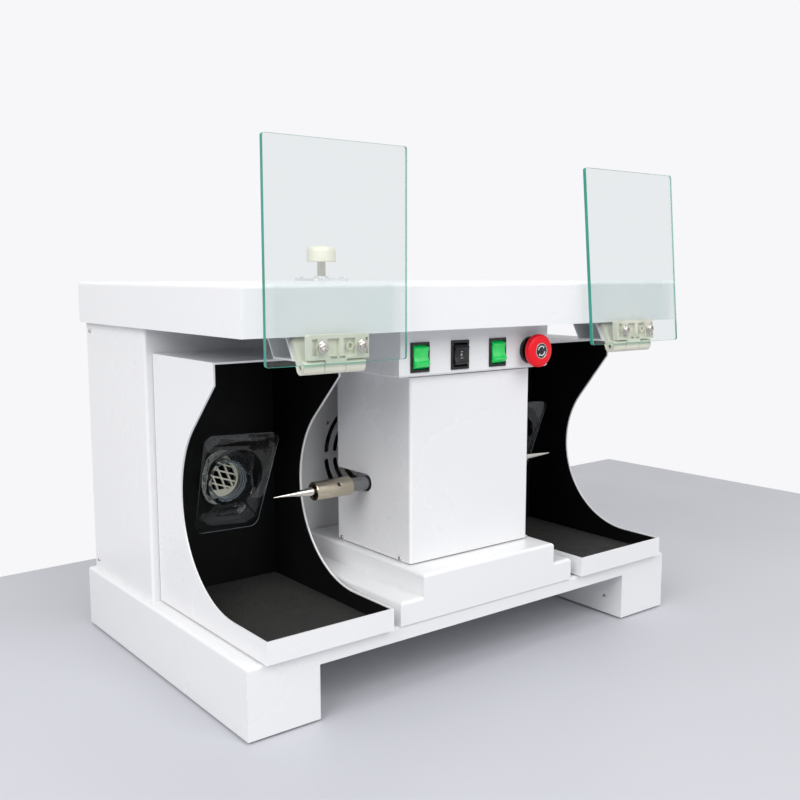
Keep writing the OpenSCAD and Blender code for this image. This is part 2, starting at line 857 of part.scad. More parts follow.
module duct_grilles() {
    r = neck_r - funnel_t;
    color("#efe8c8") for (s = [-1, 1]) at_duct(s) along_y(grille_y, grille_t) {
        difference() {
            circle(r);
            circle(r - 2);
        }
        intersection() {
            circle(r - 1);
            union() {
                for (a = bar_turn, i = [-3:3])
                    rotate(a[0]) translate([-r, i * a[1] - bar_w / 2]) square([2 * r, bar_w]);
                translate([-r, -r]) square([2 * r, grille_sill]);
            }
        }
    }
}

// collar behind the cabinet wall, bend towards the centre, stub into the housing
module duct() {
    y0 = cab_front + sheet;
    leg = duct_turn_y - duct_bend - y0;
    stub = duct_x - duct_bend - housing_w / 2 + sheet;
    color("#444") at_duct(-1) difference() {
        union() {
            rod_y(y0, leg, duct_r);
            rod_y(y0, 2, duct_r + 8);
            duct_elbow(duct_r);
            translate([0, duct_turn_y, 0]) rod_x(duct_bend, stub, duct_r);
        }
        rod_y(y0 - 1, leg + 2, duct_r - duct_wall);
        duct_elbow(duct_r - duct_wall);
        translate([0, duct_turn_y, 0]) rod_x(duct_bend - 1, stub + 2, duct_r - duct_wall);
    }
}

module duct_elbow(r) {
    translate([duct_bend, duct_turn_y - duct_bend, 0]) mirror([1, 0, 0])
        rotate_extrude(angle = 90) translate([duct_bend, 0]) circle(r);
}

module left_duct() {
    duct();
}

module right_duct() {
    right_side() duct();
}

module filter_housing() {
    d = cab_back - sheet - housing_y;
    h = housing_top - base_top;
    inner_w = housing_w - 2 * sheet;
    color("#c9ccd0") difference() {
        union() {
            difference() {
                translate([-housing_w / 2, housing_y, base_top]) cube([housing_w, d, h]);
                translate([-inner_w / 2, housing_y + sheet, base_top - 1]) cube([inner_w, d, h - sheet + 1]);
            }
            translate([-inner_w / 2 - 1, housing_y + 1, filter_z - sheet])
                cube([inner_w + 2, filter_y + filter_d - housing_y, sheet]);
            translate([-inner_w / 2 - 1, filter_y - sheet, filter_z - 1])
                cube([inner_w + 2, sheet, housing_top - filter_z]);
        }
        translate([-filter_w / 2 + filter_rim, filter_y - sheet - 1, filter_z + filter_rim])
            cube([filter_w - 2 * filter_rim, sheet + 2, filter_h - 2 * filter_rim]);
        translate([0, 0, fan_z]) rod_y(housing_y - 1, sheet + 2, fan_in_r);
        for (s = [-1, 1]) translate([0, duct_turn_y, duct_z])
            rod_x(s * housing_w / 2 - 2 * sheet, 4 * sheet, duct_r);
        translate([0, shaker_y, housing_top - 2 * sheet]) cylinder(h = 3 * sheet, r = rod_r + 1);
    }
}

// zigzag of pleated paper between the two long rims
function pleat_x(i) = (filter_w / 2 - filter_rim) * (i / pleats - 1);

module filter_cartridge() {
    y0 = filter_y;
    deep = filter_d - 6 - pleat_t;
    near = [for (i = [0:2 * pleats]) [pleat_x(i), y0 + 3 + (i % 2) * deep]];
    far = [for (i = [2 * pleats:-1:0]) [pleat_x(i), y0 + 3 + pleat_t + (i % 2) * deep]];
    color("#e8e4d8") {
        difference() {
            translate([-filter_w / 2, y0, filter_z]) cube([filter_w, filter_d, filter_h]);
            translate([-filter_w / 2 + filter_rim, y0 - 1, filter_z + filter_rim])
                cube([filter_w - 2 * filter_rim, filter_d + 2, filter_h - 2 * filter_rim]);
        }
        translate([0, 0, filter_z + filter_rim - 0.5])
            linear_extrude(filter_h - 2 * filter_rim + 1) polygon(concat(near, far));
    }
}

module dust_drawer() {
    z0 = base_top + gap;
    y0 = housing_y + sheet + 1;
    color("white") {
        difference() {
            translate([-drawer_w / 2, y0, z0]) cube([drawer_w, cab_back - y0, drawer_h]);
            translate([-drawer_w / 2 + drawer_t, y0 + drawer_t, z0 + drawer_t])
                cube([drawer_w - 2 * drawer_t, cab_back - y0 - drawer_t - sheet, drawer_h]);
            translate([-drawer_w / 2 - 1, y0 - 1, z0 + drawer_h - 6])
                cube([drawer_w + 2, cab_back - sheet - y0 + 1, 7]);
        }
        translate([-60, cab_back - 1, z0 + drawer_h - 6]) cube([120, drawer_lip + 1, sheet]);
        translate([-60, cab_back + drawer_lip - sheet, z0 + drawer_h - 14]) cube([120, sheet, 9]);
    }
}

module at_fan_screws() {
    for (sx = [-1, 1], sz = [-1, 1]) translate([sx * fan_screw_x, 0, sz * fan_screw_z]) children();
}

module at_fan() {
    translate([0, cab_front + sheet, fan_z]) children();
}

module fan_frame() {
    color("#2a2a2c") at_fan() {
        difference() {
            union() {
                rod_y(0, fan_l, fan_r - fan_lip);
                rod_y(0, fan_lip, fan_r);
                rod_y(fan_l - fan_lip, fan_lip, fan_r);
            }
            rod_y(-1, fan_l + 2, fan_in_r);
            at_fan_screws() rod_y(-1, 6, screw_r / 2);
        }
        difference() {
            rod_y(can_y, fan_l - can_y, fan_hub_r - 2);
            rod_y(can_y - 1, 4, fan_hub_r - 6);
        }
        rod_y(hub_y, can_y, fan_pin_r);
        for (a = [30:120:270]) rotate([0, a, 0])
            translate([fan_hub_r - 4, fan_l - fan_arm, -4]) cube([fan_in_r - fan_hub_r + 5, fan_arm, 8]);
    }
}

module fan_impeller() {
    blades = 7;
    blade_y = hub_y + hub_l;
    chord = fan_l - 22;
    color("#1a1a1c") at_fan() difference() {
        union() {
            rod_y(hub_y, hub_l, fan_hub_r);
            intersection() {
                rod_y(hub_y, fan_l - fan_arm - 2 * hub_y + 2, fan_in_r - 1.5);
                for (i = [0:blades - 1]) rotate([0, i * 360 / blades, 0])
                    translate([fan_hub_r - 3, blade_y, 0]) rotate([42, 0, 0])
                        translate([0, -chord / 2, -blade_t / 2])
                            cube([fan_in_r - fan_hub_r + 6, chord, blade_t]);
            }
        }
        rod_y(hub_y - 1, hub_l + 2, fan_pin_r + run_gap);
        rod_y(hub_y + hub_l, fan_l, fan_hub_r - 1);
    }
}

module shaker_plate() {
    color("#e6e6e6") translate([0, shaker_y, cover_top]) difference() {
        union() {
            linear_extrude(plate_t) soft_rect(plate_w, plate_w, 5);
            cylinder(h = plate_t + plate_boss, r = rod_r + 4);
            translate([0, 0, -sheet]) cylinder(h = sheet + 1, r = rod_r + 1);
        }
        translate([0, 0, -sheet - 1]) cylinder(h = plate_t + sheet + 5, r = rod_r + run_gap);
        at_plate_screws() translate([0, 0, -1]) cylinder(h = plate_t + 2, r = screw_r / 2);
    }
}

module at_plate_screws() {
    reach = plate_w / 2 - 8;
    for (sx = [-1, 1], sy = [-1, 1]) translate([sx * reach, sy * reach, 0]) children();
}

module shaker_rod() {
    foot = filter_z + filter_h;
    color("silver") translate([0, shaker_y, 0]) {
        translate([0, 0, foot]) cylinder(h = cover_top + knob_rise + knob_socket - foot, r = rod_r);
        translate([-striker_w / 2, -striker_d / 2, foot]) cube([striker_w, striker_d, striker_t]);
        for (s = [-1, 1])
            translate([s * (striker_w - striker_arm) / 2 - striker_arm / 2, filter_y + 4 - shaker_y, foot])
                cube([striker_arm, shaker_y - filter_y, striker_t]);
    }
}

module shaker_knob() {
    color("#efe8c8") translate([0, shaker_y, cover_top + knob_rise]) difference() {
        rotate_extrude() {
            square([knob_r - knob_foot_r, knob_h - knob_top_r]);
            translate([0, knob_foot_r]) square([knob_r, knob_h - knob_top_r - knob_foot_r]);
            square([knob_r - knob_top_r, knob_h]);
            translate([knob_r - knob_foot_r, knob_foot_r]) circle(knob_foot_r);
            translate([knob_r - knob_top_r, knob_h - knob_top_r]) circle(knob_top_r);
        }
        translate([0, 0, -1]) cylinder(h = knob_socket + 1, r = rod_r);
    }
}

module power_inlet() {
    color("#151515") translate([inlet_x, cab_back, inlet_z]) {
        difference() {
            union() {
                along_y(0, 3) soft_rect(inlet_w, inlet_h, 3);
                translate([-inlet_w / 2 + 5, -26, -inlet_h / 2 + 3]) cube([inlet_w - 10, 26, inlet_h - 6]);
            }
            translate([-13, -18, -9]) cube([26, 22, 18]);
        }
        for (x = [-7, 0, 7]) translate([x - 1, -18.5, x == 0 ? 0 : -4]) cube([2, 15, 4]);
    }
}

// ---------- motor and spindle ----------

module at_axis() {
    translate([0, axis_y, axis_z]) children();
}

module motor_housing() {
    color("#8a8f94") at_axis() difference() {
        rod_x(-bell_x, motor_l, motor_r);
        rod_x(-bell_x - 1, motor_l + 2, stator_r);
    }
}

module motor_stator() {
    color("#b0662c") at_axis() {
        difference() {
            rod_x(-core_l / 2, core_l, stator_r);
            rod_x(-core_l / 2 - 1, core_l + 2, rotor_r + air_gap);
        }
        for (s = [-1, 1]) difference() {
            rod_x(s * (core_l / 2 + 6) - 6.5, 13, stator_r - 5);
            rod_x(s * (core_l / 2 + 6) - 8, 16, rotor_r + 3);
        }
    }
}

module motor_rotor() {
    color("#777") at_axis() difference() {
        rod_x(-core_l / 2, core_l, rotor_r);
        rod_x(-core_l / 2 - 1, core_l + 2, shaft_r);
    }
}

module end_bell() {
    hub = bearing_r + 5;
    rib_w = 5;
    color("#6d7277") at_axis() difference() {
        union() {
            rod_x(bell_x, 6, motor_r);
            rod_x(bell_x, bell_l, hub);
            for (a = [0:60:300]) rotate([a, 0, 0]) translate([bell_x + 3, -rib_w / 2, hub - 3])
                cube([bell_l - 11, rib_w, motor_r - hub - 9]);
        }
        rod_x(bell_x - 1, bell_l + 2, shaft_r + 1);
        rod_x(bell_x - 1, bearing_x + bearing_w - bell_x + 1, bearing_r);
    }
}

module left_end_bell() {
    right_side() end_bell();
}

module right_end_bell() {
    end_bell();
}

module motor_bearings() {
    color("silver") at_axis() for (s = [-1, 1]) difference() {
        rod_x(s > 0 ? bearing_x : -bearing_x - bearing_w, bearing_w, bearing_r);
        rod_x(s > 0 ? bearing_x - 1 : -bearing_x - bearing_w - 1, bearing_w + 2, shaft_r + run_gap);
    }
}

module spindle_shaft() {
    color("#9a9a98") at_axis() {
        rod_x(-chuck_x, 2 * chuck_x, shaft_r);
        rod_x(-chuck_x - spigot_l, 2 * (chuck_x + spigot_l), spigot_r);
    }
}

module motor_cradle() {
    rib_t = 5;
    foot_w = motor_r * 1.4;
    color("#55585c") difference() {
        union() {
            translate([-motor_l / 2 + 8, axis_y - foot_w / 2, plinth_top])
                cube([motor_l - 16, foot_w, 4]);
            for (s = [-1, 1]) translate([s * (motor_l / 2 - 20) - rib_t / 2, axis_y - foot_w / 2, plinth_top])
                cube([rib_t, foot_w, axis_z - plinth_top - motor_r * 0.6]);
        }
        at_axis() rod_x(-motor_l, 2 * motor_l, motor_r);
    }
}

module run_capacitor() {
    color("#d9d9d9") translate([0, cab_front - 50, ctl_z + sheet + cap_r]) {
        rod_x(-cap_l / 2, cap_l, cap_r);
        rod_x(cap_l / 2, 8, cap_r - 6);
    }
}

module chuck() {
    color("#b9b09c") at_axis() difference() {
        rod_x(chuck_x, chuck_l, chuck_r);
        rod_x(chuck_x - 1, spigot_l + 1, spigot_r);
        rod_x(chuck_x + spigot_l - 1, chuck_l, shank_r);
        rod_x(chuck_x + chuck_l - chuck_recess_d, chuck_recess_d + 1, chuck_recess_r);
        set_screw_hole();
    }
}

// radial hole that takes the set screw, facing up and to the front
module set_screw_hole() {
    translate([set_screw_x, 0, 0]) rotate([set_screw_turn, 0, 0]) cylinder(h = chuck_r + 1, r = set_screw_r);
}

module left_chuck() {
    right_side() chuck();
}

module right_chuck() {
    chuck();
}

module mandrel() {
    x = chuck_x + chuck_l;
    color("#c8c6c2") at_axis() {
        rod_x(x - chuck_recess_d - shank_l, chuck_recess_d + shank_l, shank_r);
        translate([x, 0, 0]) rotate([0, 90, 0]) cylinder(h = mandrel_l, r1 = mandrel_r, r2 = tip_r);
    }
}

module left_mandrel() {
    right_side() mandrel();
}

module right_mandrel() {
    mandrel();
}

module chuck_set_screws() {
    color("#333") at_axis() for (m = [0, 1]) mirror([m, 0, 0])
        translate([set_screw_x, 0, 0]) rotate([set_screw_turn, 0, 0])
            translate([0, 0, spigot_r]) cylinder(h = chuck_r - spigot_r - 1.5, r = set_screw_r);
}

// ---------- shields ----------

// bracket: front plate, floor and back plate folded from one strip
function bracket_front_y() = let (s = (bracket_rise + leaf_t * sin(bracket_lean)) / cos(bracket_lean))
    hinge_y + s * sin(bracket_lean) + leaf_t * cos(bracket_lean);

module bracket_outline() {
    y0 = bracket_front_y();
    z0 = hinge_z + bracket_rise;
    up = deck_z - z0;
    lean = up * tan(bracket_lean);
    t = sheet / cos(bracket_lean);
    for (y = [y0, y0 + bracket_d - t]) {
        polygon([[y, z0], [y + t, z0], [y + t + lean, deck_z], [y + lean, deck_z]]);
        translate([y + lean, deck_z - sheet]) square([bracket_flange, sheet]);
    }
    fold = sheet * tan(bracket_lean);
    polygon([[y0 + t / 2, z0], [y0 + bracket_d - t / 2, z0],
        [y0 + bracket_d - t / 2 + fold, z0 + sheet], [y0 + t / 2 + fold, z0 + sheet]]);
}

module hinge_brackets() {
    color("white") for (x = hinge_x) along_x(x - bracket_lead, bracket_l) bracket_outline();
}

module at_hinge(i, lean) {
    translate([hinge_x[i], hinge_y, hinge_z]) rotate([-lean, 0, 0]) children();
}

// leaf behind the hinge, lying on the bracket; knuckles at both ends
module fixed_leaf(i) {
    color("#efe8c8") translate([hinge_x[i], hinge_y, hinge_z]) difference() {
        union() {
            for (x = [0, hinge_l - knuckle_l]) rod_x(x, knuckle_l, knuckle_r);
            rotate([-bracket_lean, 0, 0]) along_y(leaf_gap, leaf_t - leaf_gap)
                translate([hinge_l / 2, 0]) arch(hinge_l, leaf_drop, leaf_corner);
        }
        rod_x(knuckle_l - leaf_gap, hinge_l - 2 * knuckle_l + 2 * leaf_gap, knuckle_r + 2 * leaf_gap);
        rod_x(-1, hinge_l + 2, pin_r);
    }
}

module left_fixed_leaf() {
    fixed_leaf(0);
}

module right_fixed_leaf() {
    fixed_leaf(1);
}

// leaf on the glass, pocketed on the side that meets the glass; middle knuckle
module glass_leaf(i, lean) {
    x0 = knuckle_l + leaf_gap;
    mid = hinge_l - 2 * knuckle_l - 2 * leaf_gap;
    low = knuckle_r + 2 * leaf_gap;
    color("#efe8c8") at_hinge(i, lean) difference() {
        union() {
            rod_x(x0, mid, knuckle_r);
            along_y(-leaf_front, leaf_front - leaf_gap) {
                translate([x0, 0]) square([mid, low + 1]);
                translate([(leaf_start + leaf_end) / 2, low])
                    arch(leaf_end - leaf_start, leaf_h - low, leaf_corner / 2);
            }
        }
        along_y(-leaf_front - 1, pocket_d + 1) difference() {
            for (x = pocket_xs()) translate([x[0], low + pocket_edge])
                square([x[1] - x[0], leaf_h - low - 2 * pocket_edge]);
            for (x = glass_screw_x) translate([x, glass_screw_z]) circle(boss_r);
            translate([ring_x, glass_screw_z]) difference() {
                circle(ring_out_r);
                circle(ring_in_r);
            }
        }
        for (x = slot_xs()) translate([x - slot_l / 2, -leaf_front - 1, low + slot_rise])
            cube([slot_l, pocket_d, slot_h]);
        rod_x(-1, hinge_l + 2, pin_r + run_gap);
        for (x = glass_screw_x) translate([x, 0, glass_screw_z]) rod_y(-leaf_front - 1, 20, glass_screw_r);
    }
}

// spans of the four pockets, and middles of the two slots below them
function pocket_xs() = [[glass_screw_x[0] - boss_r - 5, glass_screw_x[0] - boss_r + 1.5],
    [glass_screw_x[0] + boss_r + 1.5, hinge_l / 2 + 3.5], [ring_x - 8, ring_x + 6],
    [glass_screw_x[1] + boss_r, leaf_end - 1.2]];

function slot_xs() = [hinge_l / 2 - 3, hinge_l / 2 + 7];

module left_glass_leaf() {
    glass_leaf(0, 0);
}

module right_glass_leaf() {
    glass_leaf(1, right_lean);
}

module hinge_pins() {
    color("silver") for (i = [0, 1]) at_hinge(i, 0) rod_x(2, hinge_l - 4, pin_r);
}

module pane(i, lean) {
    x0 = (i == 0 ? -glass_x - glass_w : glass_x) - hinge_x[i];
    color("#8fd0c4", 0.4) at_hinge(i, lean) difference() {
        translate([x0 + glass_w / 2, 0, glass_rise + glass_h / 2])
            along_y(-leaf_front - glass_t, glass_t) soft_rect(glass_w, glass_h, 3);
        for (x = glass_screw_x) translate([x, 0, glass_screw_z])
            rod_y(-leaf_front - glass_t - 1, glass_t + 2, glass_screw_r + 0.4);
    }
}

module left_glass() {
    pane(0, 0);
}

module right_glass() {
    pane(1, right_lean);
}

module glass_screws(i, lean) {
    color("silver") at_hinge(i, lean) for (x = glass_screw_x) translate([x, 0, glass_screw_z]) {
        rod_y(-leaf_front - glass_t - washer_t, washer_t, washer_r);
        rod_y(-leaf_front - glass_t - washer_t - pan_h, pan_h, pan_r);
        rod_y(-leaf_front - glass_t - washer_t, glass_t + washer_t + leaf_front - 1, glass_screw_r);
    }
}

module left_glass_screws() {
    glass_screws(0, 0);
}

module right_glass_screws() {
    glass_screws(1, right_lean);
}

// ---------- small fasteners ----------

module side_screw(s, x, y, z) {
    translate([s * x, y, z]) mirror([s > 0 ? 0 : 1, 0, 0]) {
        rod_x(0, screw_head_h, screw_r);
        rod_x(-sheet - 1.2, sheet + 1.2, screw_r / 2);
    }
}

module case_screws() {
    color("silver") {
        for (s = [-1, 1]) {
            for (y = col_screw_ys()) side_screw(s, col_w / 2, y, plinth_top + col_screw_rise);
            for (z = panel_screw_zs()) side_screw(s, cab_w / 2, cab_back - 12, z);
        }
        at_fan() at_fan_screws() {
            rod_y(-sheet - screw_head_h, screw_head_h, screw_r);
            rod_y(-sheet, sheet + 4, screw_r / 2);
        }
        translate([0, shaker_y, cover_top]) at_plate_screws() {
            translate([0, 0, plate_t]) cylinder(h = screw_head_h, r = screw_r);
            translate([0, 0, -sheet]) cylinder(h = plate_t + sheet, r = screw_r / 2);
        }
    }
}

// ---------- the part ----------

module placed() {
    translate([0, -mid_y, 0]) children();
}

placed() base_frame();
placed() rubber_feet();
placed() pedestal();
placed() column_cover();
placed() control_box();
placed() rear_cabinet();
placed() rear_panel();
placed() deck_cover();
placed() deck_plate();
placed() left_hood();
placed() right_hood();
placed() left_liner();
placed() right_liner();
placed() floor_mats();
placed() left_funnel();
placed() right_funnel();
placed() duct_grilles();
placed() left_duct();
placed() right_duct();
placed() filter_housing();
placed() filter_cartridge();
placed() dust_drawer();
placed() fan_frame();
placed() fan_impeller();
placed() motor_housing();
placed() motor_stator();
placed() left_end_bell();
placed() right_end_bell();
placed() motor_bearings();
placed() motor_rotor();
placed() spindle_shaft();
placed() motor_cradle();
placed() run_capacitor();
placed() left_chuck();
placed() right_chuck();
placed() left_mandrel();
placed() right_mandrel();
placed() chuck_set_screws();
placed() hinge_brackets();
placed() left_fixed_leaf();
placed() right_fixed_leaf();
placed() left_glass_leaf();
placed() right_glass_leaf();
placed() hinge_pins();
placed() left_glass();
placed() right_glass();
placed() left_glass_screws();
placed() right_glass_screws();
placed() switch_bodies();
placed() power_rocker();
placed() speed_rocker();
placed() suction_rocker();
placed() stop_collar();
placed() stop_plunger();
placed() stop_head();
placed() shaker_plate();
placed() shaker_rod();
placed() shaker_knob();
placed() power_inlet();
placed() case_screws();
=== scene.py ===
"""Looks of the bench polishing lathe: finishes, glass, moulded hinges, switches and turned parts."""

import json
import math

import bpy
from mathutils import Matrix, Vector


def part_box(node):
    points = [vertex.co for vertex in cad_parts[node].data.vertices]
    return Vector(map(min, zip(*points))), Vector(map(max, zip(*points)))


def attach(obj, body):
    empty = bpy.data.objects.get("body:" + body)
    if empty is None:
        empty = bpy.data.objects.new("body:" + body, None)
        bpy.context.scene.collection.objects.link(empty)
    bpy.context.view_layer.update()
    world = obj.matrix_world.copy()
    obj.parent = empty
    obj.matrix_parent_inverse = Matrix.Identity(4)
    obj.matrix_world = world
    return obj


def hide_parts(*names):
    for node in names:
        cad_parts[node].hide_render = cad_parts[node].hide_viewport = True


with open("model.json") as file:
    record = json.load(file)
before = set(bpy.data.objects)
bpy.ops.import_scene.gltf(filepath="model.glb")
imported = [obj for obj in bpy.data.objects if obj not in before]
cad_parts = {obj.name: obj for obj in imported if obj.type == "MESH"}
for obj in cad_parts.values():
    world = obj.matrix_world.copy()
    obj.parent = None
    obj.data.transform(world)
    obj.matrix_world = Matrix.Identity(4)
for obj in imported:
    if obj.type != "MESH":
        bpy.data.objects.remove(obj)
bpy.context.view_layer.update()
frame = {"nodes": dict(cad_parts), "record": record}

MM = 0.001


def middle_of(node):
    low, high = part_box(node)
    return (low + high) / 2


# where the frame says things are, in metres
HINGE_Y, HINGE_Z = middle_of("hinge_pins").yz
HINGE_X = {side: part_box(side + "_fixed_leaf")[0].x for side in ("left", "right")}
SPINDLE_Y, SPINDLE_Z = middle_of("spindle_shaft").yz
RIGHT_LEAN = math.radians(5)


# ---------- colours and shared effects ----------

def tone(red, green, blue):
    """An 0 to 255 screen colour as the linear colour that a material takes."""
    def linear(value):
        value /= 255
        return value / 12.92 if value <= 0.04045 else ((value + 0.055) / 1.055) ** 2.4
    return linear(red), linear(green), linear(blue), 1.0


def new_group(name, inputs, outputs):
    group = bpy.data.node_groups.new(name, "ShaderNodeTree")
    for socket, kind, value in inputs:
        made = group.interface.new_socket(socket, in_out="INPUT", socket_type="NodeSocket" + kind)
        if value is not None:
            made.default_value = value
    for socket, kind in outputs:
        group.interface.new_socket(socket, in_out="OUTPUT", socket_type="NodeSocket" + kind)
    return group, group.nodes.new("NodeGroupInput"), group.nodes.new("NodeGroupOutput")


def colour_drift_group():
    """A slow wander of a colour towards a second one, as on handled or dusty surfaces."""
    group, given, result = new_group("colour_drift", [("Colour", "Color", (1, 1, 1, 1)),
        ("Second", "Color", (1, 1, 1, 1)), ("Amount", "Float", 0.1), ("Scale", "Float", 8.0)],
        [("Colour", "Color")])
    place = group.nodes.new("ShaderNodeTexCoord")
    cloud = group.nodes.new("ShaderNodeTexNoise")
    cloud.inputs["Detail"].default_value = 5
    share = group.nodes.new("ShaderNodeMath")
    share.operation = "MULTIPLY"
    mix = group.nodes.new("ShaderNodeMix")
    mix.data_type = "RGBA"
    link = group.links.new
    link(place.outputs["Object"], cloud.inputs["Vector"])
    link(given.outputs["Scale"], cloud.inputs["Scale"])
    link(cloud.outputs["Fac"], share.inputs[0])
    link(given.outputs["Amount"], share.inputs[1])
    link(share.outputs[0], mix.inputs["Factor"])
    link(given.outputs["Colour"], mix.inputs["A"])
    link(given.outputs["Second"], mix.inputs["B"])
    link(mix.outputs["Result"], result.inputs["Colour"])
    return group


def smudge_group():
    """Roughness that wanders between two values."""
    group, given, result = new_group("smudge", [("Low", "Float", 0.2), ("High", "Float", 0.4),
        ("Scale", "Float", 20.0)], [("Roughness", "Float")])
    place = group.nodes.new("ShaderNodeTexCoord")
    cloud = group.nodes.new("ShaderNodeTexNoise")
    cloud.inputs["Detail"].default_value = 6
    spread = group.nodes.new("ShaderNodeMapRange")
    spread.inputs["From Min"].default_value = 0.3
    spread.inputs["From Max"].default_value = 0.7
    link = group.links.new
    link(place.outputs["Object"], cloud.inputs["Vector"])
    link(given.outputs["Scale"], cloud.inputs["Scale"])
    link(cloud.outputs["Fac"], spread.inputs["Value"])
    link(given.outputs["Low"], spread.inputs["To Min"])
    link(given.outputs["High"], spread.inputs["To Max"])
    link(spread.outputs["Result"], result.inputs["Roughness"])
    return group


def grain_group():
    """Height of a fine surface grain; Stretch draws it out along the three directions."""
    group, given, result = new_group("grain", [("Scale", "Float", 800.0),
        ("Stretch", "Vector", (1, 1, 1)), ("Detail", "Float", 2.0)], [("Height", "Float")])
    place = group.nodes.new("ShaderNodeTexCoord")
    draw_out = group.nodes.new("ShaderNodeVectorMath")
    draw_out.operation = "MULTIPLY"
    cloud = group.nodes.new("ShaderNodeTexNoise")
    link = group.links.new
    link(place.outputs["Object"], draw_out.inputs[0])
    link(given.outputs["Stretch"], draw_out.inputs[1])
    link(draw_out.outputs[0], cloud.inputs["Vector"])
    link(given.outputs["Scale"], cloud.inputs["Scale"])
    link(given.outputs["Detail"], cloud.inputs["Detail"])
    link(cloud.outputs["Fac"], result.inputs["Height"])
    return group


def specks_group():
    """A mask of scattered specks, for polishing dust and rubber crumb."""
    group, given, result = new_group("specks", [("Scale", "Float", 300.0), ("Size", "Float", 0.1)],
        [("Mask", "Float")])
    place = group.nodes.new("ShaderNodeTexCoord")
    cells = group.nodes.new("ShaderNodeTexVoronoi")
    below = group.nodes.new("ShaderNodeMath")
    below.operation = "LESS_THAN"
    link = group.links.new
    link(place.outputs["Object"], cells.inputs["Vector"])
    link(given.outputs["Scale"], cells.inputs["Scale"])
    link(cells.outputs["Distance"], below.inputs[0])
    link(given.outputs["Size"], below.inputs[1])
    link(below.outputs[0], result.inputs["Mask"])
    return group


GROUPS = {"drift": colour_drift_group(), "smudge": smudge_group(), "grain": grain_group(),
    "specks": specks_group()}


def place_group(tree, name, **values):
    node = tree.nodes.new("ShaderNodeGroup")
    node.node_tree = GROUPS[name]
    for socket, value in values.items():
        node.inputs[socket].default_value = value
    return node


def finish_of(name, colour, second, drift=(0.3, 6), rough=(0.3, 0.4, 20), grain=(800, 0.1, 0.0002),
        stretch=(1, 1, 1), detail=2.0, **shader):
    """A surface with a wandering colour, smudged gloss and a fine grain."""
    made = bpy.data.materials.new(name)
    made.use_nodes = True
    tree = made.node_tree
    skin = tree.nodes["Principled BSDF"]
    for socket, value in shader.items():
        skin.inputs[socket.replace("_", " ")].default_value = value
    paint = place_group(tree, "drift", Colour=colour, Second=second, Amount=drift[0], Scale=drift[1])
    gloss = place_group(tree, "smudge", Low=rough[0], High=rough[1], Scale=rough[2])
    relief = place_group(tree, "grain", Scale=grain[0], Stretch=stretch, Detail=detail)
    bump = tree.nodes.new("ShaderNodeBump")
    bump.inputs["Strength"].default_value = grain[1]
    bump.inputs["Distance"].default_value = grain[2]
    tree.links.new(paint.outputs["Colour"], skin.inputs["Base Color"])
    tree.links.new(gloss.outputs["Roughness"], skin.inputs["Roughness"])
    tree.links.new(relief.outputs["Height"], bump.inputs["Height"])
    tree.links.new(bump.outputs["Normal"], skin.inputs["Normal"])
    return made


def add_specks(material, colour, scale, size):
    """Scatters specks of a second colour over a finish."""
    tree = material.node_tree
    skin = tree.nodes["Principled BSDF"]
    under = skin.inputs["Base Color"].links[0].from_socket
    specks = place_group(tree, "specks", Scale=scale, Size=size)
    mix = tree.nodes.new("ShaderNodeMix")
    mix.data_type = "RGBA"
    mix.inputs["B"].default_value = colour
    tree.links.new(specks.outputs["Mask"], mix.inputs["Factor"])
    tree.links.new(under, mix.inputs["A"])
    tree.links.new(mix.outputs["Result"], skin.inputs["Base Color"])
    return material


# ---------- finishes ----------

def white_paint():
    return finish_of("white_paint", tone(238, 238, 239), tone(231, 232, 234), drift=(0.3, 3),
        rough=(0.27, 0.285, 4), grain=(420, 0.06, 0.0002), Coat_Weight=0.12, Coat_Roughness=0.12)


def black_lining():
    made = finish_of("black_lining", tone(6, 7, 7), tone(13, 13, 12), drift=(0.5, 9),
        rough=(0.5, 0.68, 18), grain=(900, 0.15, 0.0002), Specular_IOR_Level=0.14)
    return add_specks(made, tone(40, 39, 35), 260, 0.03)


def mat_rubber():
    made = finish_of("mat_rubber", tone(38, 37, 35), tone(24, 23, 22), drift=(0.8, 30),
        rough=(0.75, 0.95, 60), grain=(650, 0.7, 0.0006), detail=6.0)
    return add_specks(made, tone(150, 146, 130), 150, 0.03)


def foot_rubber():
    return finish_of("foot_rubber", tone(26, 26, 27), tone(40, 40, 40), rough=(0.7, 0.85, 40),
        grain=(700, 0.3, 0.0003))


THROUGH_CLEAR = (0.89, 0.92, 0.91, 1)


def lets_lamps_through(material):
    """Light on its way to other surfaces passes clear walls straight, as it does the thin real ones."""
    tree = material.node_tree
    clear = tree.nodes.new("ShaderNodeBsdfTransparent")
    clear.inputs["Color"].default_value = THROUGH_CLEAR
    path = tree.nodes.new("ShaderNodeLightPath")
    either = tree.nodes.new("ShaderNodeMath")
    either.operation = "MAXIMUM"
    mix = tree.nodes.new("ShaderNodeMixShader")
    tree.links.new(path.outputs["Is Shadow Ray"], either.inputs[0])
    tree.links.new(path.outputs["Is Diffuse Ray"], either.inputs[1])
    tree.links.new(either.outputs[0], mix.inputs["Fac"])
    tree.links.new(tree.nodes["Principled BSDF"].outputs["BSDF"], mix.inputs[1])
    tree.links.new(clear.outputs["BSDF"], mix.inputs[2])
    tree.links.new(mix.outputs["Shader"], tree.nodes["Material Output"].inputs["Surface"])
    return material


def clear_plastic():
    return lets_lamps_through(finish_of("clear_plastic", tone(250, 252, 255), tone(240, 244, 250),
        drift=(0.3, 12), rough=(0.01, 0.03, 25), grain=(20, 0.004, 0.0001), Transmission_Weight=1.0,
        IOR=1.42, Specular_IOR_Level=0.2))


# The funnel plate's rim faces: a paler, partly clear finish that is a painted highlight for the light its
# edges catch.
def painted_highlight_rim():
    return finish_of("painted_highlight_rim", tone(186, 200, 214), tone(140, 154, 168), drift=(0.7, 40),
        rough=(0.1, 0.25, 40), grain=(300, 0.05, 0.0002), Transmission_Weight=0.45, IOR=1.46)


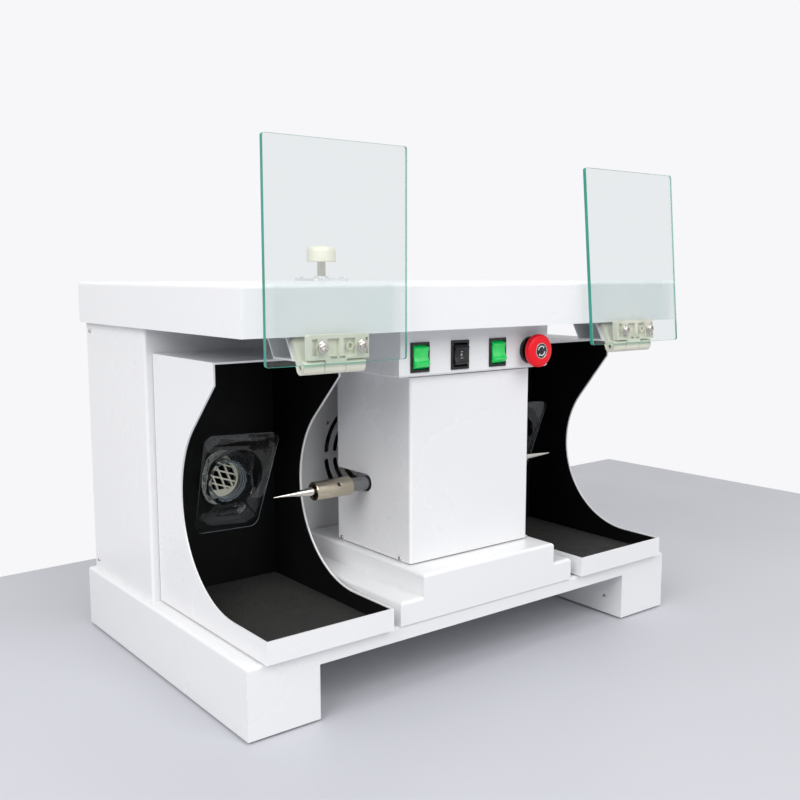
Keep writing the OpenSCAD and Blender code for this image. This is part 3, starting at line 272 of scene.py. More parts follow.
def cream_plastic():
    return finish_of("cream_plastic", tone(233, 231, 215), tone(218, 214, 194), drift=(0.5, 20),
        rough=(0.32, 0.48, 40), grain=(1100, 0.12, 0.0002), Subsurface_Weight=0.08,
        Subsurface_Radius=(0.004, 0.003, 0.002))


def duct_plastic():
    return finish_of("duct_plastic", tone(40, 41, 43), tone(58, 59, 60), rough=(0.4, 0.55, 30),
        grain=(500, 0.25, 0.0003))


def galvanised_steel():
    return finish_of("galvanised_steel", tone(186, 190, 194), tone(150, 155, 160), drift=(0.9, 45),
        rough=(0.32, 0.5, 60), grain=(120, 0.1, 0.0002), Metallic=0.9)


def filter_paper():
    return finish_of("filter_paper", tone(232, 226, 206), tone(206, 196, 170), drift=(0.6, 15),
        rough=(0.85, 0.95, 50), grain=(900, 0.4, 0.0003), detail=5.0)


def motor_paint():
    return finish_of("motor_paint", tone(112, 119, 126), tone(92, 98, 104), drift=(0.5, 12),
        rough=(0.35, 0.5, 25), grain=(350, 0.25, 0.0004))


def cast_aluminium():
    return finish_of("cast_aluminium", tone(176, 178, 181), tone(142, 144, 148), drift=(0.7, 30),
        rough=(0.45, 0.6, 40), grain=(420, 0.45, 0.0005), detail=5.0, Metallic=0.95)


def cast_iron():
    return finish_of("cast_iron", tone(74, 76, 79), tone(52, 54, 57), drift=(0.7, 25),
        rough=(0.5, 0.7, 30), grain=(300, 0.5, 0.0006), detail=5.0, Metallic=0.4)


def laminated_steel():
    return finish_of("laminated_steel", tone(130, 92, 60), tone(92, 84, 78), drift=(0.9, 20),
        rough=(0.4, 0.6, 30), grain=(1800, 0.5, 0.0003), stretch=(1, 0.05, 0.05), Metallic=0.8)


def turned_steel():
    return finish_of("turned_steel", tone(150, 150, 150), tone(118, 118, 120), drift=(0.5, 18),
        rough=(0.16, 0.28, 50), grain=(1500, 0.15, 0.0001), stretch=(1, 0.04, 0.04), Metallic=1.0)


def nickel_plate():
    return finish_of("nickel_plate", tone(196, 186, 168), tone(160, 150, 132), drift=(0.5, 25),
        rough=(0.15, 0.24, 60), grain=(1400, 0.12, 0.0001), stretch=(1, 0.03, 0.03), Metallic=1.0)


def polished_steel():
    return finish_of("polished_steel", tone(206, 202, 195), tone(170, 166, 158), drift=(0.4, 20),
        rough=(0.06, 0.13, 60), grain=(1600, 0.06, 0.0001), stretch=(1, 0.05, 0.05), Metallic=1.0)


def black_steel():
    return finish_of("black_steel", tone(52, 52, 54), tone(34, 34, 36), rough=(0.3, 0.42, 80),
        grain=(1500, 0.2, 0.0001), Metallic=0.8)


def shield_glass():
    return lets_lamps_through(finish_of("shield_glass", tone(238, 242, 242), tone(236, 241, 240),
        drift=(0.3, 4), rough=(0.0, 0.012, 10), grain=(6, 0.01, 0.0001), Transmission_Weight=1.0,
        IOR=1.45, Specular_IOR_Level=0.25))


def glass_edge():
    return finish_of("glass_edge", tone(70, 190, 168), tone(20, 132, 116), drift=(0.8, 14),
        rough=(0.08, 0.2, 40), grain=(500, 0.08, 0.0001), Transmission_Weight=0.3, IOR=1.5)


def black_plastic():
    return finish_of("black_plastic", tone(20, 20, 22), tone(32, 32, 34), drift=(0.5, 40),
        rough=(0.22, 0.34, 60), grain=(1300, 0.1, 0.0002), Specular_IOR_Level=0.4)


# metres from band to band of a wave texture whose scale is 1
BAND_SPACING = 0.314


def add_ribs(material, spacing, depth):
    """Fine upright ribs across a moulded face."""
    tree = material.node_tree
    bump = tree.nodes["Bump"]
    place = tree.nodes.new("ShaderNodeTexCoord")
    ribs = tree.nodes.new("ShaderNodeTexWave")
    ribs.bands_direction = "X"
    ribs.inputs["Scale"].default_value = BAND_SPACING / spacing
    second = tree.nodes.new("ShaderNodeBump")
    second.inputs["Strength"].default_value = depth
    second.inputs["Distance"].default_value = 0.0003
    tree.links.new(place.outputs["Object"], ribs.inputs["Vector"])
    tree.links.new(ribs.outputs["Fac"], second.inputs["Height"])
    tree.links.new(bump.outputs["Normal"], second.inputs["Normal"])
    tree.links.new(second.outputs["Normal"], tree.nodes["Principled BSDF"].inputs["Normal"])
    return material


def lit_green():
    made = finish_of("lit_green", tone(0, 214, 92), tone(0, 158, 62), drift=(0.9, 160),
        rough=(0.08, 0.16, 60), grain=(500, 0.05, 0.0001), Coat_Weight=0.6, Coat_Roughness=0.05,
        Emission_Strength=0.32)
    tree = made.node_tree
    skin = tree.nodes["Principled BSDF"]
    tree.links.new(skin.inputs["Base Color"].links[0].from_socket, skin.inputs["Emission Color"])
    return add_ribs(made, 0.0014, 0.5)


def stop_red():
    return finish_of("stop_red", tone(238, 14, 34), tone(222, 8, 24), drift=(0.6, 30),
        rough=(0.28, 0.38, 50), grain=(900, 0.06, 0.0002), Specular_IOR_Level=0.3)


def plate_steel():
    return finish_of("plate_steel", tone(226, 228, 230), tone(206, 208, 212), drift=(0.4, 30),
        rough=(0.25, 0.4, 40), grain=(700, 0.1, 0.0002), Metallic=0.55)


def white_ink():
    return finish_of("white_ink", tone(226, 228, 228), tone(206, 208, 208), rough=(0.4, 0.5, 80),
        grain=(900, 0.1, 0.0001))


MAKERS = [white_paint, black_lining, mat_rubber, foot_rubber, clear_plastic, cream_plastic,
    duct_plastic, galvanised_steel, filter_paper, motor_paint, cast_aluminium, cast_iron,
    laminated_steel, turned_steel, nickel_plate, polished_steel, black_steel, shield_glass,
    black_plastic, lit_green, stop_red, plate_steel]
FINISH = {maker.__name__: maker() for maker in MAKERS}
for extra in (glass_edge, painted_highlight_rim, white_ink):
    FINISH[extra.__name__] = extra()

for entry in frame["record"]["subparts"]:
    shell = frame["nodes"][entry["node"]]
    shell.data.materials.clear()
    shell.data.materials.append(FINISH[entry["material_slot"]])


# ---------- modelling tools ----------

def put_down():
    bpy.ops.object.select_all(action="DESELECT")


def take(*pieces):
    put_down()
    for piece in pieces:
        piece.select_set(True)
    bpy.context.view_layer.objects.active = pieces[0]


def bake_place(piece):
    take(piece)
    bpy.ops.object.transform_apply(location=True, rotation=True, scale=True)
    return piece


def block(name, low, high):
    """A box between two corners, given in millimetres."""
    put_down()
    low, high = Vector(low) * MM, Vector(high) * MM
    bpy.ops.mesh.primitive_cube_add(size=1, location=(low + high) / 2)
    piece = bpy.context.object
    piece.name = name
    piece.scale = high - low
    return bake_place(piece)


def turn_up(name, rings, sides=72):
    """A turned piece that stands along Z: rings of (radius, height) in millimetres from foot to top."""
    put_down()
    radius, height = rings[0]
    bpy.ops.mesh.primitive_circle_add(vertices=sides, radius=radius * MM, fill_type="NGON",
        location=(0, 0, height * MM))
    piece = bpy.context.object
    piece.name = name
    bake_place(piece)
    bpy.ops.object.mode_set(mode="EDIT")
    bpy.ops.mesh.select_all(action="SELECT")
    for next_radius, next_height in rings[1:]:
        bpy.ops.mesh.extrude_region_move(
            TRANSFORM_OT_translate={"value": (0, 0, (next_height - height) * MM)})
        share = next_radius / radius
        bpy.ops.transform.resize(value=(share, share, 1), center_override=(0, 0, next_height * MM))
        radius, height = next_radius, next_height
    bpy.ops.mesh.select_all(action="SELECT")
    bpy.ops.mesh.normals_make_consistent(inside=False)
    bpy.ops.object.mode_set(mode="OBJECT")
    return piece


def arc(middle_radius, middle_height, radius, start, end, steps=8):
    """Rings along a round stretch of a turned piece's profile, angles in degrees."""
    rings = []
    for step in range(steps + 1):
        angle = math.radians(start + (end - start) * step / steps)
        rings.append((middle_radius + radius * math.cos(angle), middle_height + radius * math.sin(angle)))
    return rings


def run(piece, kind, **settings):
    """Adds one modifier with its settings and applies it."""
    take(piece)
    step = piece.modifiers.new(kind.lower(), kind)
    for setting, value in settings.items():
        setattr(step, setting, value)
    bpy.ops.object.modifier_apply(modifier=step.name)
    return piece


def cut(piece, tool, how="DIFFERENCE"):
    run(piece, "BOOLEAN", operation=how, solver="EXACT", object=tool)
    bpy.data.objects.remove(tool)
    return piece


def soften(piece, width, segments=2, angle=35):
    return run(piece, "BEVEL", width=width * MM, segments=segments, limit_method="ANGLE",
        angle_limit=math.radians(angle), harden_normals=False)


def join(name, pieces):
    take(*pieces)
    bpy.ops.object.join()
    pieces[0].name = name
    return pieces[0]


def copy_of(piece, name):
    other = piece.copy()
    other.data = piece.data.copy()
    other.name = name
    bpy.context.scene.collection.objects.link(other)
    return other


def put_at(piece, place, turn=None):
    """Moves a piece to a place in metres after an optional turn, and bakes both into its mesh."""
    piece.matrix_world = Matrix.Translation(place) @ (turn or Matrix.Identity(4)) @ piece.matrix_world
    return bake_place(piece)


def about_x(degrees):
    return Matrix.Rotation(math.radians(degrees), 4, "X")


FACE_FRONT = about_x(90)
FACE_RIGHT = Matrix.Rotation(math.radians(90), 4, "Y")


def finished(piece, body, slot, *finishes, replaces=(), smooth=40):
    take(piece)
    bpy.ops.object.shade_smooth_by_angle(angle=math.radians(smooth))
    if finishes:
        piece.data.materials.clear()
        for finish in finishes:
            piece.data.materials.append(FINISH[finish])
    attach(piece, body)
    if replaces:
        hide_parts(*replaces)
    return piece


def lean_right(piece, side):
    """The right shield leans back about its hinge; the left one stands upright."""
    if side == "right":
        hinge = Vector((0, HINGE_Y, HINGE_Z))
        piece.matrix_world = (Matrix.Translation(hinge) @ Matrix.Rotation(-RIGHT_LEAN, 4, "X")
            @ Matrix.Translation(-hinge) @ piece.matrix_world)
    return bake_place(piece)


# ---------- shields ----------

# millimetres: the screws' places are measured from a leaf's outer end and from the hinge's axis
SCREW_X = (19, 66)
SCREW_Z = 20
WASHER_RADIUS = 6.2
SCREW_HEAD_RADIUS = 4.6
PANE_CORNER = 3
PANE_EDGE = 0.4
HOLE_RADIUS = 2.6
HOLE_RIM = 5
DRILL_LENGTH = 30
DRILL_START = 11.3


def make_pane(side):
    """A glass pane with rounded corners, two drilled holes and green edges."""
    low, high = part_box("left_glass")
    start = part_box(side + "_glass")[0].x
    high = Vector((start + high.x - low.x, high.y, high.z)) / MM
    low = Vector((start, low.y, low.z)) / MM
    pane = block(side + "_pane", low, high)
    bpy.ops.object.mode_set(mode="EDIT")
    bpy.ops.mesh.select_mode(type="EDGE")
    bpy.ops.mesh.select_all(action="DESELECT")
    bpy.ops.object.mode_set(mode="OBJECT")
    for edge in pane.data.edges:
        first, second = (pane.data.vertices[i].co for i in edge.vertices)
        edge.select = abs(first.y - second.y) > MM
    bpy.ops.object.mode_set(mode="EDIT")
    bpy.ops.mesh.bevel(offset=PANE_CORNER * MM, segments=6, affect="EDGES")
    bpy.ops.mesh.select_mode(type="VERT")
    bpy.ops.object.mode_set(mode="OBJECT")
    holes = [Vector((HINGE_X[side] / MM + x, 0, HINGE_Z / MM + SCREW_Z)) for x in SCREW_X]
    for hole in holes:
        drill = turn_up("drill", [(HOLE_RADIUS, 0), (HOLE_RADIUS, DRILL_LENGTH)], 32)
        put_at(drill, Vector((hole.x, high.y + DRILL_START, hole.z)) * MM, FACE_FRONT)
        cut(pane, drill)
    soften(pane, PANE_EDGE, segments=2, angle=50)
    pane.data.materials.clear()
    pane.data.materials.append(FINISH["shield_glass"])
    pane.data.materials.append(FINISH["glass_edge"])
    for face in pane.data.polygons:
        spot = face.center / MM
        away = min(math.hypot(spot.x - hole.x, spot.z - hole.z) for hole in holes)
        face.material_index = 1 if abs(face.normal.y) < 0.9 and away > HOLE_RIM else 0
    lean_right(pane, side)
    return finished(pane, side + "_shield", "shield_glass", replaces=[side + "_glass"], smooth=8)


def pan_head(name, radius, height):
    """A domed screw head along Z with a cross recess."""
    head = turn_up(name, [(radius * 0.96, 0), (radius, height * 0.12), (radius, height * 0.5),
        (radius * 0.95, height * 0.7), (radius * 0.82, height * 0.86), (radius * 0.6, height * 0.96),
        (radius * 0.3, height), (0.02, height)], 32)
    for turn in (0, 90):
        slot = block("slot", (-radius * 0.6, -radius * 0.13, height * 0.35), (radius * 0.6, radius * 0.13,
            height * 1.5))
        slot.matrix_world = Matrix.Rotation(math.radians(turn + 20), 4, "Z")
        bake_place(slot)
        cut(head, slot)
    return head


def make_glass_screws(side):
    """Two pan-head screws, each on its washer, through a pane."""
    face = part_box("left_glass")[0].y
    parts = []
    for number, x in enumerate(SCREW_X):
        washer = turn_up("washer", [(WASHER_RADIUS - 0.2, 0), (WASHER_RADIUS, 0.15), (WASHER_RADIUS, 0.8),
            (WASHER_RADIUS - 0.3, 1), (2, 1)], 48)
        head = pan_head("head", SCREW_HEAD_RADIUS, 2.6)
        shank = turn_up("shank", [(2.2, -11), (2.2, 1.5)], 24)
        head.matrix_world = Matrix.Translation((0, 0, MM))
        bake_place(head)
        screw = join("screw", [washer, head, shank])
        put_at(screw, Vector((HINGE_X[side] + x * MM, face, HINGE_Z + SCREW_Z * MM)),
            FACE_FRONT @ Matrix.Rotation(math.radians(35 * number), 4, "Z"))
        parts.append(screw)
    screws = join(side + "_pane_screws", parts)
    lean_right(screws, side)
    return finished(screws, side + "_shield", "polished_steel", "polished_steel",
        replaces=[side + "_glass_screws"])


# ---------- switches and stop button ----------

# all in millimetres; half sizes are across and up
SWITCHES = ("power", "speed", "suction")
PLATE_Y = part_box("control_box")[0].y / MM
SWITCH_Z = middle_of("speed_rocker").z / MM
BEZEL_HALF = (13.35, 16.75)
BODY_HALF = (11.2, 14.6)
OPENING_HALF = (10.4, 13.75)
ROCKER_RADIUS = 13.35
ROCKER_HALF_WIDTH = 10
HOLLOW_RADIUS = 13
HOLLOW_DEPTH = -20.4
PIVOT_DEPTH = 4
MARK_RISE = 0.12


def switch_middle(name):
    return middle_of(name + "_rocker").x / MM


def switch_block(name, switch, half, front, back):
    """A box round the middle of a switch, from front to back of the plate's face."""
    x = switch_middle(switch)
    return block(name, (x - half[0], PLATE_Y + front, SWITCH_Z - half[1]), (x + half[0], PLATE_Y + back,
        SWITCH_Z + half[1]))


def make_bezels():
    """The switches' black bezels with the hollow bodies behind them."""
    parts = []
    for name in SWITCHES:
        bezel = soften(switch_block("bezel", name, BEZEL_HALF, -2, 0.2), 0.7, segments=3)
        cut(bezel, switch_block("body", name, BODY_HALF, 0.1, 24), "UNION")
        cut(bezel, switch_block("opening", name, OPENING_HALF, -5, 18))
        parts.append(bezel)
    return finished(join("switch_bezels", parts), "machine_body", "black_plastic", "black_plastic",
        replaces=["switch_bodies"])


def make_rocker(name, tilt, slot):
    """A rocker with a hollowed face and round ends, tilted about its own pivot."""
    rocker = turn_up(name + "_paddle", [(ROCKER_RADIUS, -ROCKER_HALF_WIDTH),
        (ROCKER_RADIUS, ROCKER_HALF_WIDTH)], 96)
    put_at(rocker, Vector((0, 0, 0)), FACE_RIGHT)
    cut(rocker, block("back", (-20, 0, -20), (20, 30, 20)))
    hollow = turn_up("hollow", [(HOLLOW_RADIUS, -15), (HOLLOW_RADIUS, 15)], 96)
    put_at(hollow, Vector((0, HOLLOW_DEPTH, 0)) * MM, FACE_RIGHT)
    cut(rocker, hollow)
    soften(rocker, 0.8, segments=3, angle=30)
    put_at(rocker, Vector((switch_middle(name), PLATE_Y + PIVOT_DEPTH, SWITCH_Z)) * MM, about_x(tilt))
    return finished(rocker, name + "_switch", slot, slot, replaces=[name + "_rocker"])


def make_rocker_marks():
    """Plain white marks on the middle rocker: a bar, a ring and two bars."""
    parts = []
    for low, high in (((-1.5, 3.3), (1.5, 3.9)), ((-1.5, -4.8), (-0.8, -3)), ((0.8, -4.8), (1.5, -3))):
        bar = block("bar", (low[0], -MARK_RISE, low[1]), (high[0], MARK_RISE, high[1]))
        middle = (low[1] + high[1]) / 2
        face = HOLLOW_DEPTH + math.sqrt(HOLLOW_RADIUS ** 2 - middle ** 2)
        bar.matrix_world = (Matrix.Translation(Vector((0, face, middle)) * MM) @ Matrix.Rotation(
            -math.asin(middle / HOLLOW_RADIUS), 4, "X") @ Matrix.Translation(Vector((0, 0, -middle)) * MM))
        parts.append(bake_place(bar))
    ring = turn_up("ring", [(1.3, 0), (1.3, MARK_RISE)], 32)
    cut(ring, turn_up("bore", [(0.75, -1), (0.75, 1)], 32))
    parts.append(put_at(ring, Vector((0, HOLLOW_DEPTH + HOLLOW_RADIUS, 0)) * MM, FACE_FRONT))
    for part in parts:
        soften(part, 0.08, segments=1)
    marks = join("speed_marks", parts)
    put_at(marks, Vector((switch_middle("speed"), PLATE_Y + PIVOT_DEPTH, SWITCH_Z)) * MM)
    return finished(marks, "speed_switch", "black_plastic", "white_ink")


STOP_PLACE = Vector((middle_of("stop_head").x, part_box("stop_head")[1].y, middle_of("stop_head").z))
BADGE_RADIUS = 9.4
BADGE_FACE = 9.9
DISC_RADIUS = 8.46
ARROW_OUTER = 6.2
ARROW_INNER = 4.9
ARROW_RISE = 0.14


def make_stop_button():
    """A red mushroom head with a ringed badge that bears two plain twist arrows."""
    head = turn_up("stop_mushroom", [(16.5, 0.3)] + arc(17, 3, 3, -80, 0, 5) + arc(16, 5.4, 4, 0, 70, 8)
        + [(14, 9.6), (11, 9.8), (9.5, BADGE_FACE), (BADGE_RADIUS, 9.6), (0.02, 9.6)], 96)
    put_at(head, STOP_PLACE, FACE_FRONT)
    finished(head, "stop_button", "stop_red", "stop_red", replaces=["stop_head"])
    ring = turn_up("stop_badge_ring", [(9.35, 9.3), (9.35, 9.98), (9.1, 10.1), (8.6, 10.1), (8.45, 9.98),
        (8.45, 9.5), (0.02, 9.5)], 64)
    put_at(ring, STOP_PLACE, FACE_FRONT)
    finished(ring, "stop_button", "polished_steel", "polished_steel")
    disc = turn_up("stop_badge", [(DISC_RADIUS, 9.3), (DISC_RADIUS, 9.82), (8.3, 9.92), (0.02, 9.95)], 48)
    put_at(disc, STOP_PLACE, FACE_FRONT)
    finished(disc, "stop_button", "black_plastic", "black_plastic")
    arrows = []
    for turn in (0, 180):
        shaft = turn_up("shaft", [(ARROW_OUTER, BADGE_FACE), (ARROW_OUTER, BADGE_FACE + ARROW_RISE)], 64)
        cut(shaft, turn_up("bore", [(ARROW_INNER, 9), (ARROW_INNER, 11)], 64))
        cut(shaft, block("half", (-9, -9, 9), (9, 1, 11)))
        cut(shaft, block("end", (2.4, -9, 9), (9, 9, 11)))
        point = turn_up("point", [(2, BADGE_FACE), (2, BADGE_FACE + ARROW_RISE)], 3)
        point.matrix_world = Matrix.Translation(Vector((3.2, 4.6, 0)) * MM) @ Matrix.Rotation(
            math.radians(55), 4, "Z")
        bake_place(point)
        arrow = join("arrow", [shaft, point])
        arrow.matrix_world = Matrix.Rotation(math.radians(turn), 4, "Z")
        arrows.append(bake_place(arrow))
    mark = join("stop_twist_arrows", arrows)
    put_at(mark, STOP_PLACE, FACE_FRONT)
    finished(mark, "stop_button", "black_plastic", "white_ink")
    back_ring = turn_up("stop_back_ring", [(14.5, -0.6), (17, -0.5), (17.3, -0.1), (17, 0.3),
        (14.5, 0.4)], 72)
    put_at(back_ring, STOP_PLACE, FACE_FRONT)
    finished(back_ring, "stop_button", "polished_steel", "polished_steel")


# ---------- spindle ends ----------

CHUCK_LOW, CHUCK_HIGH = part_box("right_chuck")
CHUCK_LENGTH = (CHUCK_HIGH.x - CHUCK_LOW.x) / MM
MANDREL_LENGTH = (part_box("right_mandrel")[1].x - CHUCK_HIGH.x) / MM
# the cross hole lies this far out from the chuck's inner end; spike sizes are radii in millimetres
CROSS_HOLE_TURN = 58
CROSS_HOLE_X = 21 * MM
SPIKE_FOOT = 5.4
SPIKE_TIP = 0.7
SPIKE_STEPS = 12


def make_spindle_end(side):
    """A collet chuck with a cross hole, and the tapered mandrel that it holds."""
    way = 1 if side == "right" else -1
    outwards = Matrix.Rotation(math.radians(90 * way), 4, "Y")
    start = Vector((way * CHUCK_LOW.x, SPINDLE_Y, SPINDLE_Z))
    long = CHUCK_LENGTH
    chuck = turn_up(side + "_collet", [(8.1, 0), (9.8, 0), (11, 1.2), (11, long - 0.5), (10.6, long),
        (8.9, long), (8.5, long - 0.4), (8.5, long - 4), (3, long - 4)], 96)
    drill = turn_up("drill", [(2.5, 5), (2.5, 10.6), (3.1, 11.3), (3.1, 14)], 32)
    put_at(drill, Vector((0, 0, 0)), about_x(CROSS_HOLE_TURN))
    put_at(chuck, start, outwards)
    drill.location = Vector((way * (CHUCK_LOW.x + CROSS_HOLE_X), SPINDLE_Y, SPINDLE_Z))
    cut(chuck, bake_place(drill))
    finished(chuck, "spindle", "nickel_plate", "nickel_plate", replaces=[side + "_chuck"], smooth=30)
    shares = [step / SPIKE_STEPS for step in range(SPIKE_STEPS)]
    taper = [(SPIKE_FOOT - (SPIKE_FOOT - SPIKE_TIP) * share, MANDREL_LENGTH * share) for share in shares]
    mandrel = turn_up(side + "_spike", [(5, -20), (5, -0.2)] + taper + [(0.62, MANDREL_LENGTH - 0.5),
        (0.4, MANDREL_LENGTH - 0.12), (0.05, MANDREL_LENGTH)], 72)
    put_at(mandrel, start + Vector((way * long * MM, 0, 0)), outwards)
    finished(mandrel, "spindle", "polished_steel", "polished_steel", replaces=[side + "_mandrel"])


# ---------- shaker knob, funnels and case screws ----------

KNOB_FOOT = 1.5
KNOB_TOP = 8


def make_knob():
    """The shaker's turned cap, tightly rounded at its foot and widely at its top."""
    low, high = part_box("shaker_knob")
    tall, radius = (high.z - low.z) / MM, (high.x - low.x) / 2 / MM
    knob = turn_up("shaker_cap", [(radius - KNOB_FOOT, 0)]
        + arc(radius - KNOB_FOOT, KNOB_FOOT, KNOB_FOOT, -80, 0, 4)
        + arc(radius - KNOB_TOP, tall - KNOB_TOP, KNOB_TOP, 0, 84, 12)
        + [(radius * 0.3, tall), (0.02, tall)], 96)
    put_at(knob, Vector(((low.x + high.x) / 2, (low.y + high.y) / 2, low.z)))
    return finished(knob, "shaker", "cream_plastic", "cream_plastic", replaces=["shaker_knob"])


# millimetres, apart from the duct's middle; faces past PLATE_REACH belong to the plate's rim
DUCT_X = 228.5 * MM
DUCT_Z = middle_of("left_duct").z
FUNNEL_LEAN = math.radians(15)
WELD = 0.01 * MM
PLATE_REACH = 37
RIDGE_HALF = 0.45
# for each ridge round the neck: how far it lies in front of the funnel's rear end, and its radius
NECK_RIDGES = ((38.6, 23.6), (36.5, 21.9), (31, 21.9))


def make_funnel(side):
    """The moulded funnel with its rim faces in a paler finish, a painted highlight for the light that its
    clear edges catch, and ridges round its neck.
    """
    shell = copy_of(frame["nodes"][side + "_funnel"], side + "_clear_funnel")
    take(shell)
    bpy.ops.object.mode_set(mode="EDIT")
    bpy.ops.mesh.select_all(action="SELECT")
    bpy.ops.mesh.remove_doubles(threshold=WELD)
    bpy.ops.object.mode_set(mode="OBJECT")
    middle = Vector((math.copysign(DUCT_X, middle_of(side + "_duct").x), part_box(side + "_funnel")[1].y,
        DUCT_Z))
    shell.data.materials.clear()
    shell.data.materials.append(FINISH["clear_plastic"])
    shell.data.materials.append(FINISH["painted_highlight_rim"])
    plate_out = Vector((0, -math.cos(FUNNEL_LEAN), -math.sin(FUNNEL_LEAN)))
    # rim faces take the paler finish, a painted highlight for the light the edges catch
    for face in shell.data.polygons:
        reach = math.hypot(face.center.x - middle.x, face.center.z - middle.z) / MM
        face.material_index = 1 if abs(face.normal.dot(plate_out)) < 0.3 and reach > PLATE_REACH else 0
    finished(shell, "machine_body", "clear_plastic", replaces=[side + "_funnel"], smooth=12)
    ridges = []
    for depth, radius in NECK_RIDGES:
        ridge = turn_up("ridge", [(radius - 0.7, -RIDGE_HALF), (radius, -0.3), (radius, 0.3),
            (radius - 0.7, RIDGE_HALF)])
        cut(ridge, turn_up("bore", [(radius - 0.8, -2), (radius - 0.8, 2)]))
        put_at(ridge, Vector((middle.x, middle.y - depth * MM, middle.z)), FACE_FRONT)
        ridges.append(ridge)
    return finished(join(side + "_neck_ridges", ridges), "machine_body", "clear_plastic", "painted_highlight_rim")


# the case screws' places: on the column's and the cabinet's sides, round the fan, on the shaker's plate
COLUMN_SCREW_Y = (-148.7 * MM, -31.2 * MM)
COLUMN_SCREW_Z = 134 * MM
PANEL_SCREW_Y = 205.3 * MM
PANEL_SCREW_Z = (90 * MM, 389 * MM)
FAN_SCREW = (69.2 * MM, 43.24 * MM)
FAN_FACE_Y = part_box("rear_cabinet")[0].y
FAN_MIDDLE_Z = middle_of("fan_frame").z
PLATE_SCREW = 20.5 * MM
SHAKER_Y = middle_of("shaker_plate").y
PLATE_TOP_Z = 454.5 * MM


def make_case_screws():
    """One small cross-head screw, copied to every place where the case is screwed together."""
    head = pan_head("case_screw", 2.5, 1.8)
    shank = turn_up("shank", [(1.25, -3), (1.25, 0.5)], 16)
    head = join("case_screw", [head, shank])
    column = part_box("column_cover")[1].x
    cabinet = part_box("rear_cabinet")[1].x
    places = []
    for way in (-1, 1):
        sideways = Matrix.Rotation(math.radians(90 * way), 4, "Y")
        for y in COLUMN_SCREW_Y:
            places.append((Vector((way * column, y, COLUMN_SCREW_Z)), sideways))
        for z in PANEL_SCREW_Z:
            places.append((Vector((way * cabinet, PANEL_SCREW_Y, z)), sideways))
        for z in (-1, 1):
            on_fan = Vector((way * FAN_SCREW[0], FAN_FACE_Y, FAN_MIDDLE_Z + z * FAN_SCREW[1]))
            on_plate = Vector((way * PLATE_SCREW, SHAKER_Y + z * PLATE_SCREW, PLATE_TOP_Z))
            places.append((on_fan, FACE_FRONT))
            places.append((on_plate, Matrix.Identity(4)))
    parts = []
    for number, (place, turn) in enumerate(places):
        part = copy_of(head, "case_screw_copy")
        put_at(part, place, turn @ Matrix.Rotation(math.radians(37 * number), 4, "Z"))
        parts.append(part)
    bpy.data.objects.remove(head)
    return finished(join("cross_head_screws", parts), "machine_body", "polished_steel", "polished_steel",
        replaces=["case_screws"])


# a rocker that is switched on tilts this many degrees
ROCKER_ON = -8

for shield_side in ("left", "right"):
    make_pane(shield_side)
    make_glass_screws(shield_side)
    make_spindle_end(shield_side)
    make_funnel(shield_side)
make_bezels()
make_rocker("power", ROCKER_ON, "lit_green")
make_rocker("speed", 0, "black_plastic")
make_rocker("suction", ROCKER_ON, "lit_green")
make_rocker_marks()
make_stop_button()
make_knob()
make_case_screws()


# ---------- stage, light and camera ----------

# metres, unless they say otherwise
BENCH_RIGHT, BENCH_BACK = 1.115, 0.53
BENCH_REACH = 6
BENCH_THICK = 0.04
BENCH_SHIFT = 0.02
BENCH_TURN = math.radians(1.85)
ROOM_LIGHT = 0.38
WALL_TONE = tone(247, 247, 249)
SENSOR_MM = 36
PHOTO_PIXELS = 800
FOCAL_PIXELS = 959.9
CAMERA_PLACE = (-0.7555, -0.9987, 0.4598)
CAMERA_DIP, CAMERA_ROLL, CAMERA_HEADING = (math.radians(angle) for angle in (7.455, 0.033, -37.916))


def make_stage():
    """A pale bench top that ends behind and to the right of the machine."""
    corner = Vector((BENCH_RIGHT, BENCH_BACK, 0))
    top = block("bench_top", (corner - Vector((BENCH_REACH, BENCH_REACH, BENCH_THICK))) / MM, corner / MM)
    top.matrix_world = Matrix.Translation((BENCH_RIGHT, BENCH_BACK + BENCH_SHIFT, 0)) @ Matrix.Rotation(
        BENCH_TURN, 4, "Z") @ Matrix.Translation((-BENCH_RIGHT, -BENCH_BACK, 0))
    bake_place(top)
    laminate = finish_of("bench_laminate", tone(197, 198, 204), tone(190, 191, 198), drift=(0.5, 2),
        rough=(0.45, 0.55, 5), grain=(300, 0.03, 0.0003))
    top.data.materials.append(laminate)


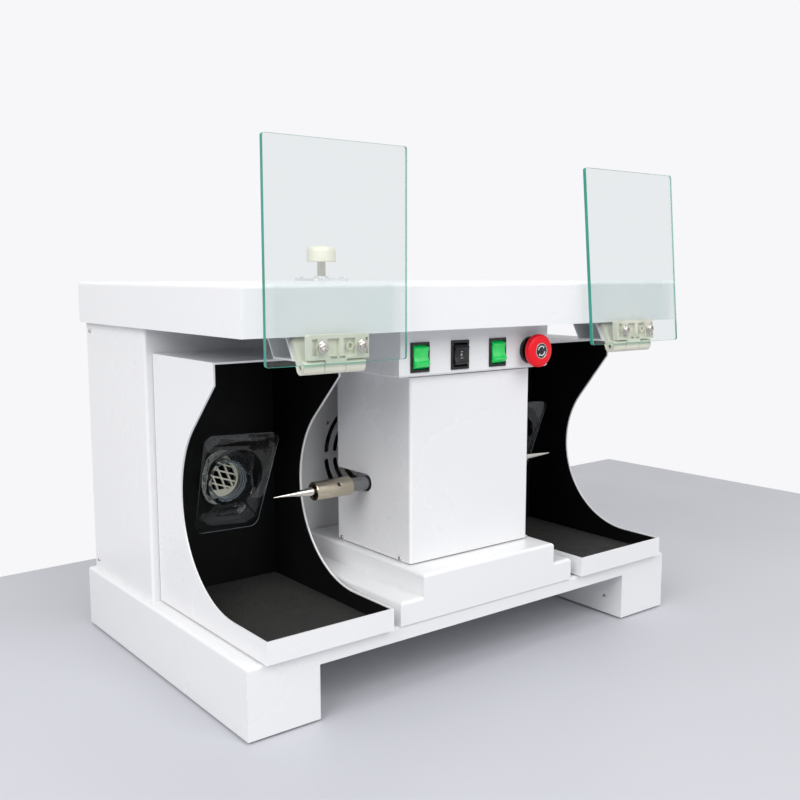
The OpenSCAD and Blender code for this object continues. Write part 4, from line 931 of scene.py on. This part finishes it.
def make_world():
    """Soft light from all round, and a near-white wall where the camera or a gloss looks past the part."""
    world = bpy.data.worlds.new("room")
    bpy.context.scene.world = world
    world.use_nodes = True
    tree = world.node_tree
    light = tree.nodes["Background"]
    light.inputs["Color"].default_value = (0.985, 0.99, 1.0, 1.0)
    light.inputs["Strength"].default_value = ROOM_LIGHT
    seen = tree.nodes.new("ShaderNodeBackground")
    seen.inputs["Color"].default_value = WALL_TONE
    seen.inputs["Strength"].default_value = 1.0
    path = tree.nodes.new("ShaderNodeLightPath")
    first = tree.nodes.new("ShaderNodeMath")
    first.operation = "MAXIMUM"
    second = tree.nodes.new("ShaderNodeMath")
    second.operation = "MAXIMUM"
    mix = tree.nodes.new("ShaderNodeMixShader")
    tree.links.new(path.outputs["Is Camera Ray"], first.inputs[0])
    tree.links.new(path.outputs["Is Glossy Ray"], first.inputs[1])
    tree.links.new(first.outputs[0], second.inputs[0])
    tree.links.new(path.outputs["Is Transmission Ray"], second.inputs[1])
    tree.links.new(second.outputs[0], mix.inputs["Fac"])
    tree.links.new(light.outputs[0], mix.inputs[1])
    tree.links.new(seen.outputs[0], mix.inputs[2])
    tree.links.new(mix.outputs[0], tree.nodes["World Output"].inputs["Surface"])


def make_lamp(name, place, target, size, power):
    data = bpy.data.lights.new(name, "AREA")
    data.shape = "RECTANGLE"
    data.size, data.size_y = size
    data.energy = power
    lamp = bpy.data.objects.new(name, data)
    bpy.context.scene.collection.objects.link(lamp)
    lamp.location = place
    lamp.rotation_euler = (Vector(target) - Vector(place)).to_track_quat("-Z", "Y").to_euler()
    return lamp


def make_camera():
    data = bpy.data.cameras.new("camera")
    data.sensor_width = SENSOR_MM
    data.lens = FOCAL_PIXELS / PHOTO_PIXELS * SENSOR_MM
    camera = bpy.data.objects.new("camera", data)
    bpy.context.scene.collection.objects.link(camera)
    camera.location = CAMERA_PLACE
    camera.rotation_euler = (math.pi / 2 - CAMERA_DIP, CAMERA_ROLL, CAMERA_HEADING)
    bpy.context.scene.camera = camera


make_stage()
make_world()
make_lamp("front_box", (0.2, -2.5, 2.2), (0, 0, 0.25), (2.0, 2.0), 47)
make_lamp("left_box", (-2.4, -1.0, 1.9), (0, 0, 0.25), (1.8, 1.8), 51)
make_lamp("top_box", (0, 0, 3.0), (0, 0, 0), (2.4, 2.4), 25)
make_camera()
bpy.context.scene.view_settings.view_transform = "Standard"
